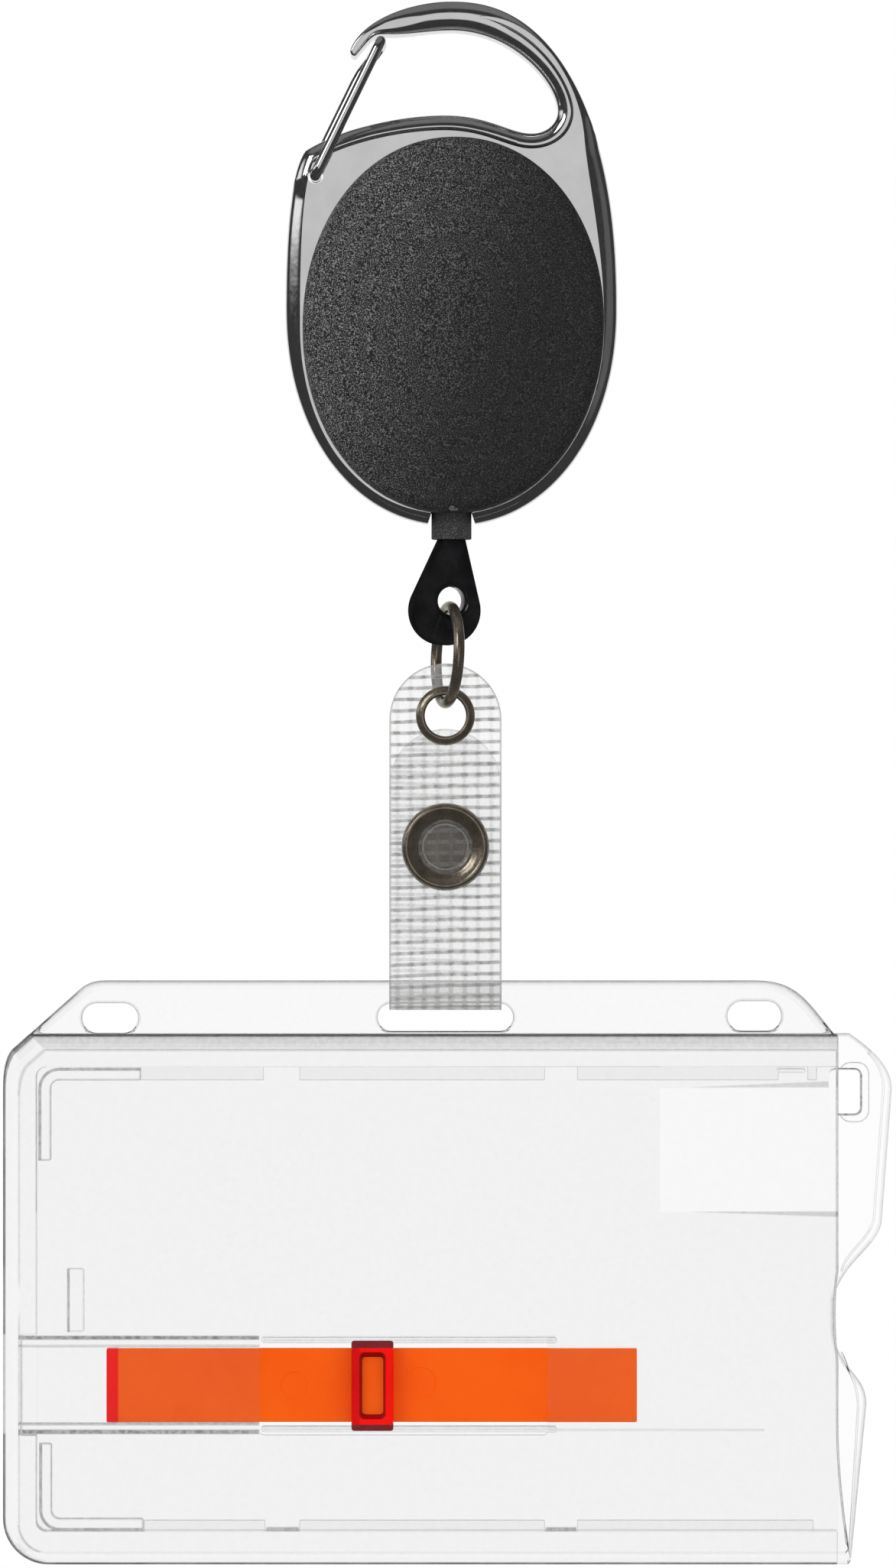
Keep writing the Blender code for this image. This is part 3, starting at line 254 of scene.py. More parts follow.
def tube(name, path, diameter, sides=5):
    curve = bpy.data.curves.new(name, "CURVE")
    curve.dimensions = "3D"
    curve.bevel_depth = diameter / 2
    curve.bevel_resolution = sides
    curve.use_fill_caps = True
    spline = curve.splines.new("POLY")
    spline.points.add(len(path) - 1)
    for point, place in zip(spline.points, path):
        point.co = (*place, 1)
    source = bpy.data.objects.new(name + "Path", curve)
    bpy.context.scene.collection.objects.link(source)
    bm = bmesh.new()
    bm.from_mesh(madeMesh(source))
    weld(bm)
    bpy.data.objects.remove(source)
    return newObject(name, bm)


def settle(obj):
    # keeps what the modifiers make
    mesh = madeMesh(obj)
    obj.modifiers.clear()
    obj.data = mesh
    return obj


def merge(target, tools, operation):
    for tool in tools:
        boolean = target.modifiers.new(operation.lower(), "BOOLEAN")
        boolean.operation = operation
        boolean.solver = "MANIFOLD"
        boolean.object = tool
        settle(target)
        bpy.data.objects.remove(tool)
    return target


def roundEdges(obj, width, segments=3, angle=40):
    bevel = obj.modifiers.new("round", "BEVEL")
    bevel.width = width
    bevel.segments = segments
    bevel.limit_method = "ANGLE"
    bevel.angle_limit = math.radians(angle)
    bevel.use_clamp_overlap = True
    return settle(obj)


clearShade = {"flat": 0.061, "level": 0.998, "steep": 1.6, "sliver": 0.03, "join": 0.4}


def zoneValue(zones, x, z, other):
    # zones are (left, right, low, high, value), and the first one that holds the place counts
    held = (v for left, right, low, high, v in zones if left <= x <= right and low <= z <= high)
    return next(held, other)


def shadeFaces(bm, sloping, pale):
    # the painted shade of each face of a clear piece, for how dark it shows: sloping has the zones for its
    # sloping faces, and pale those where its flat faces show lighter than the rest
    join = math.radians(clearShade["join"])
    bmesh.ops.dissolve_limit(bm, angle_limit=join, verts=bm.verts, edges=bm.edges)
    for left, right, low, high, level in pale:
        for axis, place in (("X", left), ("X", right), ("Z", low), ("Z", high)):
            sliceAt(bm, axis, place)
    shade = bm.faces.layers.float.new("edgeShade")
    bm.normal_update()
    for face in bm.faces:
        longest = max(edge.calc_length() for edge in face.edges)
        x, y, z = face.calc_center_median()
        level = abs(face.normal.y)
        face[shade] = zoneValue(pale, x, z, clearShade["flat"]) if level > clearShade["level"] else 0.0
        if face.calc_area() > clearShade["sliver"] * longest and not face[shade]:
            face[shade] = zoneValue(sloping, x, z, 0) * min(1, (1 - level) * clearShade["steep"]) ** 0.5


def finishPiece(obj, materials, body=None, stands=(), angle=32, weighted=True, clear=None, pale=()):
    bm = openMesh(obj)
    bmesh.ops.remove_doubles(bm, verts=bm.verts, dist=weldReach)
    bmesh.ops.dissolve_degenerate(bm, edges=bm.edges, dist=weldReach)
    if clear:
        shadeFaces(bm, clear, pale)
    bmesh.ops.scale(bm, vec=(mm, mm, mm), verts=bm.verts)
    closeMesh(bm, obj)
    obj.data.shade_smooth()
    obj.data.set_sharp_from_angle(angle=math.radians(angle))
    if weighted:
        normals = obj.modifiers.new("flats", "WEIGHTED_NORMAL")
        normals.keep_sharp = True
        settle(obj)
    obj.data.materials.clear()
    for material in materials if isinstance(materials, list) else [materials]:
        obj.data.materials.append(material)
    paint(obj, lambda centre, normal: 0)
    if stands:
        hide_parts(*stands)
    if body:
        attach(obj, body)
    return obj


def paint(obj, rule):
    # rule gives the number of a face's finish from its centre in millimetres and its normal
    for face in obj.data.polygons:
        face.material_index = rule(face.center / mm, face.normal)


def thicken(obj, thickness, offset, even=False):
    wall = obj.modifiers.new("wall", "SOLIDIFY")
    wall.thickness = thickness
    wall.offset = offset
    wall.use_even_offset = even
    return settle(obj)


# Finishes

def newMaterial(name, colour, roughness, metallic=0.0):
    material = bpy.data.materials.new(name)
    material.use_nodes = True
    shader = material.node_tree.nodes["Principled BSDF"]
    shader.inputs["Base Color"].default_value = (*colour, 1)
    shader.inputs["Roughness"].default_value = roughness
    shader.inputs["Metallic"].default_value = metallic
    return material, material.node_tree, shader


def feed(tree, socket, value):
    # a socket takes a link or a plain value
    if hasattr(value, "links"):
        tree.links.new(value, socket)
    else:
        socket.default_value = (*value, 1) if socket.type == "RGBA" else value


def addNode(tree, kind, inputs=None, **settings):
    node = tree.nodes.new(kind)
    for key, value in settings.items():
        setattr(node, key, value)
    for key, value in (inputs or {}).items():
        feed(tree, node.inputs[key], value)
    return node


def objectPlace(tree):
    return addNode(tree, "ShaderNodeTexCoord").outputs["Object"]


def splitPlace(tree, place):
    return addNode(tree, "ShaderNodeSeparateXYZ", {"Vector": place}).outputs


def mixColours(tree, mask, first, second):
    node = addNode(tree, "ShaderNodeMix", {"Factor": mask}, data_type="RGBA")
    for key, value in (("A", first), ("B", second)):
        feed(tree, next(s for s in node.inputs if s.name == key and s.type == "RGBA"), value)
    return next(s for s in node.outputs if s.type == "RGBA")


def rampValue(tree, source, low, high, first=0.0, second=1.0):
    ends = {"From Min": low, "From Max": high, "To Min": first, "To Max": second}
    node = addNode(tree, "ShaderNodeMapRange", {"Value": source, **ends}, interpolation_type="SMOOTHSTEP")
    return node.outputs["Result"]


def calc(tree, operation, first, second=0.0):
    return addNode(tree, "ShaderNodeMath", {0: first, 1: second}, operation=operation).outputs[0]


def spanOf(tree, first, second):
    squares = [calc(tree, "MULTIPLY", side, side) for side in (first, second)]
    return calc(tree, "SQRT", calc(tree, "ADD", squares[0], squares[1]))


def grainGroup():
    # fine speckle and broad cloud of a moulded or plated surface; Size is in millimetres
    group = bpy.data.node_groups.new("surfaceGrain", "ShaderNodeTree")
    sockets = {"Size": "INPUT", "Cloud Size": "INPUT", "Speckle": "OUTPUT", "Cloud": "OUTPUT"}
    for name, way in sockets.items():
        group.interface.new_socket(name, in_out=way, socket_type="NodeSocketFloat")
    taken = addNode(group, "NodeGroupInput")
    given = addNode(group, "NodeGroupOutput")
    place = objectPlace(group)
    for name, size, detail in (("Speckle", "Size", 2.0), ("Cloud", "Cloud Size", 3.0)):
        scale = calc(group, "DIVIDE", 1 / mm, taken.outputs[size])
        noise = addNode(group, "ShaderNodeTexNoise",
                        {"Vector": place, "Scale": scale, "Detail": detail, "Roughness": 0.6})
        feed(group, given.inputs[name], rampValue(group, noise.outputs["Fac"], 0.25, 0.75))
    return group


surfaceGrain = grainGroup()


def grain(tree, size, cloudSize):
    inputs = {"Size": size, "Cloud Size": cloudSize}
    marks = addNode(tree, "ShaderNodeGroup", inputs, node_tree=surfaceGrain).outputs
    return marks["Speckle"], marks["Cloud"]


def bump(tree, shader, height, strength, depth):
    node = addNode(tree, "ShaderNodeBump", {"Height": height, "Strength": strength, "Distance": depth * mm})
    feed(tree, shader.inputs["Normal"], node.outputs["Normal"])


def cloudedFinish(name, dark, light, sizes, roughness, relief=None, metallic=0.0, shine=0.5):
    # the colour drifts from dark to light; roughness is plain, or a mark of the grain and its range,
    # and relief a mark with its strength and depth
    even = isinstance(roughness, float)
    material, tree, shader = newMaterial(name, light, roughness if even else roughness[1], metallic)
    shader.inputs["Specular IOR Level"].default_value = shine
    marks = dict(zip(("speckle", "cloud"), grain(tree, *sizes)))
    feed(tree, shader.inputs["Base Color"], mixColours(tree, marks["cloud"], dark, light))
    if not even:
        mark, low, high = roughness
        feed(tree, shader.inputs["Roughness"], rampValue(tree, marks[mark], 0, 1, low, high))
    if relief:
        mark, strength, depth = relief
        bump(tree, shader, marks[mark], strength, depth)
    return material


def tintedFinish(name, dark, light, roughness):
    spread = ("speckle", roughness - 0.06, roughness + 0.06)
    return cloudedFinish(name, dark, light, (0.5, 9.0), spread, ("speckle", 0.08, 0.02), shine=0.12)


def grainAndPaintedSheenFinish(name, dark, light, roughness, sheen=1.0):
    # the grain's pale tips carry a painted sheen, brightest on the upper left as if lit from there; sheen
    # is the painted sheen that is left on the far side
    lit = {"below": 34.7, "slope": 0.35, "left": -19, "right": 13, "falloff": 1.3, "tips": 0.42,
           "shine": 0.3}
    material, tree, shader = newMaterial(name, dark, roughness)
    shader.inputs["Specular IOR Level"].default_value = lit["shine"]
    speckle, cloud = grain(tree, 0.14, 5.0)
    place = splitPlace(tree, objectPlace(tree))
    # painted sheen: a ramp across the piece from the upper left
    drop = calc(tree, "MULTIPLY", calc(tree, "ADD", place["Z"], lit["below"] * mm), lit["slope"])
    aside = calc(tree, "SUBTRACT", place["X"], drop)
    lean = rampValue(tree, aside, lit["left"] * mm, lit["right"] * mm, 1.0, 0.0)
    paintedSheen = calc(tree, "ADD", calc(tree, "POWER", lean, lit["falloff"]), sheen)
    tips = calc(tree, "MULTIPLY", rampValue(tree, speckle, lit["tips"], 1.0), paintedSheen)
    feed(tree, shader.inputs["Base Color"], mixColours(tree, tips, dark, light))
    feed(tree, shader.inputs["Roughness"], rampValue(tree, cloud, 0, 1, roughness - 0.05, roughness + 0.06))
    bump(tree, shader, speckle, 0.55, 0.09)
    return material


def cordFinish():
    braiding = {"slope": 0.7, "turn": 0.3, "scale": 1400.0, "wobble": 0.4, "dark": (0.008, 0.008, 0.009),
                "light": (0.035, 0.035, 0.036)}
    material, tree, shader = newMaterial("braidedCord", (0.015, 0.015, 0.016), 0.75)
    place = objectPlace(tree)
    waves = []
    for slope in (braiding["slope"], -braiding["slope"]):
        angles = (slope, slope, braiding["turn"])
        tilted = addNode(tree, "ShaderNodeMapping", {"Vector": place, "Rotation": angles}).outputs[0]
        wave = addNode(tree, "ShaderNodeTexWave", {"Vector": tilted, "Scale": braiding["scale"],
                                                   "Distortion": braiding["wobble"]})
        waves.append(wave.outputs["Fac"])
    braid = calc(tree, "MAXIMUM", waves[0], waves[1])
    feed(tree, shader.inputs["Base Color"], mixColours(tree, braid, braiding["dark"], braiding["light"]))
    bump(tree, shader, braid, 0.6, 0.06)
    return material


strapCut = {"width": 13.2, "thickness": 0.55, "mapLength": 80.0}


def vinylFinish(name, shift, snapAlong, endAlong, flangeShadeAlong, strength):
    # woven scrim sealed in clear vinyl; the strip's own map gives millimetres across and along
    # turned is the colour of the painted shade where the strip lies over the flange
    look = {"pitch": 1.31, "thread": 0.2, "acrossPitch": 1.58, "clear": 0.13, "woven": 0.68, "pressed": 4.2,
            "soft": 0.4, "tilt": 0.03, "wander": 0.12, "sway": 0.15, "aside": 0.56, "warp": 0.25,
            "rim": 0.7, "film": (0.86, 0.86, 0.86), "yarn": (0.24, 0.237, 0.228),
            "turned": (0.25, 0.25, 0.24)}
    material, tree, shader = newMaterial(name, (0.9, 0.9, 0.9), 0.22)
    place = splitPlace(tree, addNode(tree, "ShaderNodeUVMap", uv_map="cut").outputs["UV"])
    across = calc(tree, "MULTIPLY", place["X"], strapCut["width"])
    along = calc(tree, "MULTIPLY", place["Y"], strapCut["mapLength"])
    speckle, cloud = grain(tree, 0.7, 3.2)
    tilt = calc(tree, "MULTIPLY", across, look["tilt"])
    wander = calc(tree, "MULTIPLY", cloud, look["wander"])
    row = calc(tree, "ADD", calc(tree, "ADD", along, tilt), calc(tree, "ADD", wander, shift))
    row = calc(tree, "PINGPONG", row, look["pitch"] / 2)
    weft = rampValue(tree, row, look["thread"] * 0.6, look["thread"] * 1.6, 1, 0)
    sway = calc(tree, "ADD", calc(tree, "MULTIPLY", cloud, look["sway"]), look["aside"])
    column = calc(tree, "PINGPONG", calc(tree, "ADD", across, sway), look["acrossPitch"] / 2)
    warp = rampValue(tree, column, 0.08, 0.42, 1, 0)
    weft = calc(tree, "MULTIPLY", weft, rampValue(tree, speckle, 0, 1, 0.62 * strength, strength))
    weft = calc(tree, "MULTIPLY", weft, rampValue(tree, column, 0.1, 0.6, 1.1, 0.8))
    half = strapCut["width"] / 2
    inward = calc(tree, "SUBTRACT", half, calc(tree, "ABSOLUTE", calc(tree, "SUBTRACT", along, endAlong)))
    aside = calc(tree, "SUBTRACT", across, half)
    outward = spanOf(tree, aside, calc(tree, "MAXIMUM", inward, 0.0))
    rim = rampValue(tree, outward, half - look["soft"], half)
    threads = calc(tree, "MAXIMUM", weft, calc(tree, "MULTIPLY", warp, look["warp"]))
    marked = calc(tree, "MAXIMUM", threads, calc(tree, "MULTIPLY", rim, look["rim"] * strength))
    # pressed clear under the snap
    reach = spanOf(tree, aside, calc(tree, "SUBTRACT", along, snapAlong))
    pressed = rampValue(tree, reach, look["pressed"] - look["soft"], look["pressed"], 0.25, 1)
    # painted shade where it lies over the holder's flange, which takes away the light from behind it; the
    # scrim's bars show more there too
    flangeShadeMask = rampValue(tree, along, flangeShadeAlong - 0.1, flangeShadeAlong + 0.1)
    colour = mixColours(tree, marked, look["film"], look["yarn"])
    shaded = mixColours(tree, calc(tree, "MULTIPLY", flangeShadeMask, 0.35), colour, look["turned"])
    feed(tree, shader.inputs["Base Color"], shaded)
    cover = calc(tree, "MULTIPLY", rampValue(tree, marked, 0, 1, look["clear"], look["woven"]), pressed)
    bars = calc(tree, "MAXIMUM", marked, calc(tree, "MULTIPLY", warp, 0.7))
    bars = rampValue(tree, bars, 0, 1, 0.28, 0.7)
    cover = calc(tree, "MAXIMUM", cover, calc(tree, "MULTIPLY", flangeShadeMask, bars))
    feed(tree, shader.inputs["Alpha"], cover)
    bump(tree, shader, threads, 0.3, 0.05)
    return material


def frostedFinish():
    # its faces carry a painted shade for how dark they show; lamps and soft light pass through
    material, tree, shader = newMaterial("frostedClear", (1.0, 1.0, 1.0), 0.12)
    shader.inputs["Transmission Weight"].default_value = 1.0
    shader.inputs["IOR"].default_value = 1.46
    shader.inputs["Specular Tint"].default_value = (0.25, 0.25, 0.25, 1)
    speckle, cloud = grain(tree, 0.6, 6.0)
    edge = addNode(tree, "ShaderNodeAttribute", attribute_name="edgeShade").outputs["Fac"]
    edge = calc(tree, "MULTIPLY", edge, rampValue(tree, speckle, 0, 1, 0.88, 1.08))
    feed(tree, shader.inputs["Base Color"], mixColours(tree, edge, (1.0, 1.0, 1.0), (0.02, 0.018, 0.016)))
    feed(tree, shader.inputs["Roughness"], rampValue(tree, cloud, 0, 1, 0.08, 0.16))
    bump(tree, shader, speckle, 0.08, 0.02)
    path = addNode(tree, "ShaderNodeLightPath").outputs
    through = addNode(tree, "ShaderNodeBsdfTransparent", {"Color": (0.96, 0.96, 0.96)})
    shade = calc(tree, "MAXIMUM", path["Is Shadow Ray"], path["Is Diffuse Ray"])
    inputs = {"Fac": shade, 1: shader.outputs[0], 2: through.outputs[0]}
    mixed = addNode(tree, "ShaderNodeMixShader", inputs)
    feed(tree, tree.nodes["Material Output"].inputs["Surface"], mixed.outputs[0])
    return material


plating = {"sizes": (0.3, 2.0), "roughness": ("speckle", 0.2, 0.32), "relief": ("cloud", 0.2, 0.04),
           "metallic": 0.92}
moulded = {"dark": (0.006, 0.006, 0.007), "light": (0.014, 0.014, 0.015), "sizes": (0.5, 2.5),
           "roughness": ("cloud", 0.07, 0.17), "relief": ("cloud", 0.15, 0.05)}
chrome = cloudedFinish("polishedChrome", (0.82, 0.82, 0.83), (0.9, 0.9, 0.9), (0.5, 4.5),
                       ("speckle", 0.06, 0.13), ("cloud", 0.25, 0.05), metallic=1.0)
blackGrain = grainAndPaintedSheenFinish("grainedBlack", (0.012, 0.012, 0.013), (0.3, 0.3, 0.305), 0.5, 0.17)
collarGrain = grainAndPaintedSheenFinish("collarBlack", (0.035, 0.035, 0.036), (0.12, 0.12, 0.122), 0.58)
# the pip's finish is paler than the dome's, a painted glint on the pip
pipGlintGrain = grainAndPaintedSheenFinish("pipPaintedGlint", (0.05, 0.05, 0.051), (0.4, 0.4, 0.4), 0.4)
blackSatin = cloudedFinish("satinBlack", **moulded, shine=0.0)
blackGloss = cloudedFinish("glossBlack", **moulded, shine=0.6)
gunmetal = cloudedFinish("gunmetalPlate", (0.26, 0.222, 0.172), (0.42, 0.362, 0.288), **plating)
# the socket's darker plate is a painted shade and dark reflection inside its hollow
shadedSocketMetal = cloudedFinish("shadedSocketMetal", (0.07, 0.06, 0.047), (0.125, 0.108, 0.088), **plating)
springSteel = cloudedFinish("springSteel", (0.36, 0.37, 0.4), (0.5, 0.51, 0.53), (0.2, 3.0),
                            ("speckle", 0.24, 0.38), metallic=1.0)
whiteNylon = cloudedFinish("whiteNylon", (0.7, 0.7, 0.68), (0.78, 0.78, 0.76), (0.4, 4.0), 0.42,
                           ("speckle", 0.2, 0.03))
braidedCord = cordFinish()
frostedClear = frostedFinish()
orangeTint = tintedFinish("orangeTint", (0.98, 0.105, 0.0), (1.0, 0.125, 0.002), 0.28)
redTint = tintedFinish("redTint", (0.9, 0.0, 0.0), (1.0, 0.004, 0.0), 0.25)
shadedRed = tintedFinish("shadedRed", (0.64, 0.0, 0.002), (0.74, 0.001, 0.004), 0.25)
# the wall and cap reds are painted shade on the thumb's recess walls and on its rounded top and bottom
shadedWallRed = tintedFinish("shadedWallRed", (0.29, 0.001, 0.005), (0.36, 0.002, 0.008), 0.25)
shadedCapRed = tintedFinish("shadedCapRed", (0.16, 0.014, 0.018), (0.22, 0.02, 0.026), 0.3)
print("finishes made")


# Carabiner frame

reel = {"halfWidth": 17.7, "halfHeight": 22.1, "power": 2.07, "centre": (0, -34.7), "ledge": 1.3,
        "margins": ((0, 0.26), (-20, 0.2), (-45, 0.1), (-80, 0.08), (-100, 0.1), (-115, 0.25), (-140, 0.3),
                    (-165, 0.12), (-180, 0.1))}
hook = {"halfWidth": 19.55, "halfDepth": 3.2, "bottom": -58.25, "crown": 3.5, "waist": -32.7, "power": 2.27,
        "ringPower": 2.1, "gap": 2.95, "neck": 2.42, "rim": 1.6, "rimSteps": 8, "side": 2.85,
        "sidePoints": 181, "seat": 2.6, "nose": (-11.8, -2.1), "taper": 9.5, "shoulder": (-17.2, -14.1),
        "loop": 9.9, "crest": -0.793, "reach": 12.5, "pocket": (9.45, -12.05), "bead": 1.85,
        "hinge": (-16.0, -17.1), "hingeBore": 0.925}


def caseRun(inset, start, end, count):
    halves = reel["halfWidth"] - inset, reel["halfHeight"] - inset
    return ovalRun(reel["centre"], *halves, reel["power"], start, end, count)


def frameRun():
    waist, half = (0, hook["waist"]), hook["halfWidth"]
    low = hook["waist"] - hook["bottom"]
    shoulder, nose, pocket = hook["shoulder"], hook["nose"], hook["pocket"]
    crest, tip, notch = (hook["crest"], -hook["loop"]), (-11.2, -2.95), (-8.4, -0.45)
    loopEnd = (hook["reach"], pocket[1] + 2.65)
    points = ovalRun(waist, half, hook["crown"] - hook["waist"], hook["power"], 90, 0, 60)
    points += ovalRun(waist, half, low, hook["ringPower"], 0, -180, 100)
    return points + curveRun((-half, hook["waist"]),
                             ((-half, hook["waist"] * 0.8), (-19.2, -16.78), shoulder, 20),
                             ((-13.0, -11.42), (-6.0, -hook["loop"]), crest, 24),
                             ((4.5, -hook["loop"]), (6.8, pocket[1]), pocket, 20),
                             ((11.19, pocket[1]), (hook["reach"], -10.89), loopEnd, 14),
                             ((hook["reach"], -6.24), (7.25, 0), (0, 0), 30),
                             ((-3.02, 0), (-5.04, -0.64), notch, 14),
                             ((-9.3, -0.5), (-10.1, -1.65), tip, 12),
                             ((-11.5, -3.3), (-12.15, -2.7), nose, 8),
                             ((-10.38, 1.2), (-4.96, hook["crown"]), (0, hook["crown"]), 30))


def recessRun():
    left, right = (reel["halfWidth"] + reel["margins"][k][1] for k in (-1, 0))
    floor = -hook["loop"] - hook["bead"]
    pocket = (hook["pocket"][0], hook["pocket"][1] - hook["bead"])
    corner = (hook["shoulder"][0] + 0.91, hook["shoulder"][1] - 1.5)
    end = (hook["reach"] + hook["bead"], pocket[1] + 4.3)
    crest, strip, turnIn = (hook["crest"], floor), (3.5, 1.54), (15.64, -12.97)
    under, over = (strip[0], strip[1] - 0.1), (strip[0], strip[1] + 0.1)
    high, middle = hook["waist"] * 0.8, reel["centre"][1]
    points = []
    for i in range(120):
        turn = -1.5 * i
        spans = zip(reel["margins"], reel["margins"][1:])
        (a, first), (b, second) = next(pair for pair in spans if turn > pair[1][0])
        margin = first + (second - first) * (turn - a) / (b - a)
        points += caseRun(-margin, turn, turn - 1, 1)
    points += curveRun((-left, middle), ((-left, high), (-17.6, corner[1] * 1.19), corner, 20),
                       ((corner[0] * 0.77, corner[1] * 0.85), (-6.0, floor), crest, 24),
                       ((4.25, floor), (6.6, pocket[1]), pocket, 20),
                       ((12.19, pocket[1]), (end[0], pocket[1] + hook["bead"]), end, 16),
                       ((end[0], end[1] * 0.625), (9.5, 0.7), under, 24))
    points += arcRun(strip, 0.1, 270, 90, 8)
    return points + curveRun(over, ((10.0, 1.7), (15.17, -5.64), turnIn, 24),
                             ((16.11, -17.9), (right, high), (right, middle), 20))


def recessCutter(name, side):
    # the wall opens out towards the face, so the bead left round it is rounded;
    # it stays steep down the right side and at the end of the strip
    steps = [(0.0, 0.0), (0.25, 0.02), (0.4, 0.09), (0.5, 0.2), (0.6, 0.42), (1.4, 0.5)]
    loop = recessRun()
    steep = [clamp((x - 14.2) / 0.8) * clamp((-5 - z) / 4) if z < 0 else clamp((7 - x) / 3)
             for x, z in loop]
    loops = []
    for depth, spread in steps:
        wide, fine = spreadRun(loop, spread), spreadRun(loop, spread * 0.1)
        run = [Vector(a).lerp(Vector(b), share) for a, b, share in zip(wide, fine, steep)]
        loops.append(atDepth(run, side * (hook["seat"] + depth)))
    return rings(name, loops)


def sideTrim():
    # rounds the case's sides more broadly than the bow: the frame is kept inside this body
    levels = (3.4, 3.2, 3.14, 3.0, 2.75, 2.4, 2.0, 1.5, 1.0, 0.4)
    half, count = hook["halfDepth"], hook["sidePoints"]
    outline = frameRun()[:count]
    shares = [clamp((-5 - z) / 9 if x > 0 else (-14.2 - z) / 5) for x, z in outline] + [0, 0, 0]
    clear = spreadRun(outline + [(-17.0, -13.6)], 1.0)[:count]
    outline += [(-24, -10), (-24, 8), (0, 8)]
    loops = []
    for y in [-level for level in levels] + list(reversed(levels)):
        loop = []
        for i, (x, z) in enumerate(outline):
            radius = hook["side"] * shares[i]
            past = max(0, min(abs(y), half) - half + radius)
            inset = radius - math.sqrt(radius ** 2 - past ** 2) - 0.3 * (1 - shares[i])
            if i < count:
                x, z = x - (clear[i][0] - x) * inset, z - (clear[i][1] - z) * inset
            loop.append((x, y, z))
        loops.append(loop)
    return rings("sideTrim", loops)


def rimWeights(shell):
    # the rim is sharper at the nose and a little along the bow's arm
    bm = openMesh(shell)
    weights = bm.edges.layers.float.new("bevel_weight_edge")
    for edge in bm.edges:
        a, b = (v.co for v in edge.verts)
        if abs(a.y - b.y) < 1e-6:
            middle = Vector(((a.x + b.x) / 2, (a.z + b.z) / 2))
            nose = (middle - Vector(hook["nose"])).length / hook["taper"]
            arm = clamp((middle.x - 3) / 4) * clamp((middle.y + 15) / 4)
            edge[weights] = min(1, 0.15 + 0.85 * nose ** 1.5) - 0.16 * arm
    closeMesh(bm, shell)


def frameShell():
    shell = slab("carabinerShell", frameRun(), -hook["halfDepth"], hook["halfDepth"])
    rimWeights(shell)
    bevel = shell.modifiers.new("rim", "BEVEL")
    bevel.limit_method = "WEIGHT"
    bevel.width = hook["rim"]
    bevel.segments = hook["rimSteps"]
    bevel.use_clamp_overlap = False
    settle(shell)
    hole = slab("caseHole", caseRun(reel["ledge"], 0, -360, 120), -6, 6)
    opening = [(hook["neck"], -50), (hook["neck"], -56.9), (hook["gap"], -58.4), (hook["gap"], -62)]
    gap = slab("cordGap", opening + [(-x, z) for x, z in reversed(opening)], -6, 6)
    x, z = hook["hinge"]
    bore = rod("gateBore", hook["hingeBore"], 5, -5, (x, 0, z), "Y")
    recesses = [recessCutter("frontRecess", -1), recessCutter("backRecess", 1)]
    merge(shell, [hole, gap, *recesses, bore], "DIFFERENCE")
    merge(shell, [sideTrim()], "INTERSECT")
    return finishPiece(shell, chrome, "reel", ["carabiner_frame"])


frameShell()
print("carabiner frame made")


# Case covers and collar

cover = {"sides": 160, "rim": 2.7, "upright": 1.3, "frontRound": 1.7, "frontRise": 0.84, "backRound": 1.6,
         "wall": 1.2, "lean": 0.01, "pip": 0.34, "pipAt": (0.05, -5.2, -56.2)}


def coverSteps(edgeRound, rise):
    top = cover["rim"] + cover["upright"]
    steps = [(0.12, cover["rim"]), (0, cover["rim"] + 0.12), (0, top)]
    for i in range(1, 9):
        a = math.radians(90 * i / 8)
        steps.append((edgeRound * (1 - math.cos(a)), top + edgeRound * math.sin(a)))
    span = reel["halfWidth"] - edgeRound
    for i in range(1, 15 if rise else 2):
        share = 1 - i / 15
        steps.append((edgeRound + span * i / 15, top + edgeRound + rise * (1 - share * share)))
    return steps


def coverShell(name, side, edgeRound, rise, node, extra=(), lean=0.0):
    loops = []
    low = reel["centre"][1] - reel["halfHeight"]
    for inset, depth in coverSteps(edgeRound, rise):
        loop = caseRun(inset, 0, 360, cover["sides"])
        loops.append([(x + lean * (z - low), side * depth, z) for x, z in loop])
    shell = thicken(rings(name, loops, closeStart=False, outwards=side), cover["wall"], -1)
    merge(shell, extra, "UNION")
    return finishPiece(shell, blackGrain, "reel", [node], 40, weighted=False)


pip = ball("gatePip", cover["pip"], cover["pipAt"], 24, 14)  # small moulding pip low on the dome
dome = coverShell("frontDome", -1, cover["frontRound"], cover["frontRise"], "front_cover", [pip],
                  cover["lean"])
# the moulding pip is painted paler than the dome, a painted glint
dome.data.materials.append(pipGlintGrain)
paint(dome, lambda centre, normal: int((centre - Vector(cover["pipAt"])).length < cover["pip"] + 0.01))
coverShell("backShell", 1, cover["backRound"], 0.0, "back_cover")

collar = {"radius": 2.36, "bottom": -59.8, "top": -54.0, "flange": 3.75, "flangeLow": -54.9, "bore": 0.8,
          "lip": 0.15, "cup": 2.15, "cupDepth": 0.62}


def collarPiece():
    r, lip, low = collar["radius"], collar["lip"], collar["bottom"]
    profile = [(collar["bore"] + 0.7, collar["top"]), (collar["flange"], collar["top"]),
               (collar["flange"], collar["flangeLow"]), (r, collar["flangeLow"])]
    profile += [(r - lip + x, low + lip + z) for x, z in arcRun((0, 0), lip, 0, -90, 6, True)]
    # the drop's top runs in a shallow cup under the collar
    roof = low + collar["cupDepth"]
    profile += [(collar["cup"], low), (collar["cup"], roof), (collar["bore"] + 0.3, roof)]
    profile += [(collar["bore"] + 0.3 - x, roof + z) for x, z in ((0.15, 0.04), (0.26, 0.15), (0.3, 0.3))]
    profile += [(collar["bore"], collar["top"] - 1.6), (collar["bore"] + 0.2, collar["top"] - 0.7)]
    piece = lathe("cordCollar", profile, (0, 0, 0), "Z", 72)
    return finishPiece(piece, collarGrain, "reel", ["cord_guide"])


collarPiece()
print("case covers made")


# Wire gate

gate = {"foot": hook["hinge"], "catch": (-8.3, -1.325), "wire": 1.25, "out": 4.125, "bend": 1.1,
        "footGap": 0.6, "spring": 0.9}


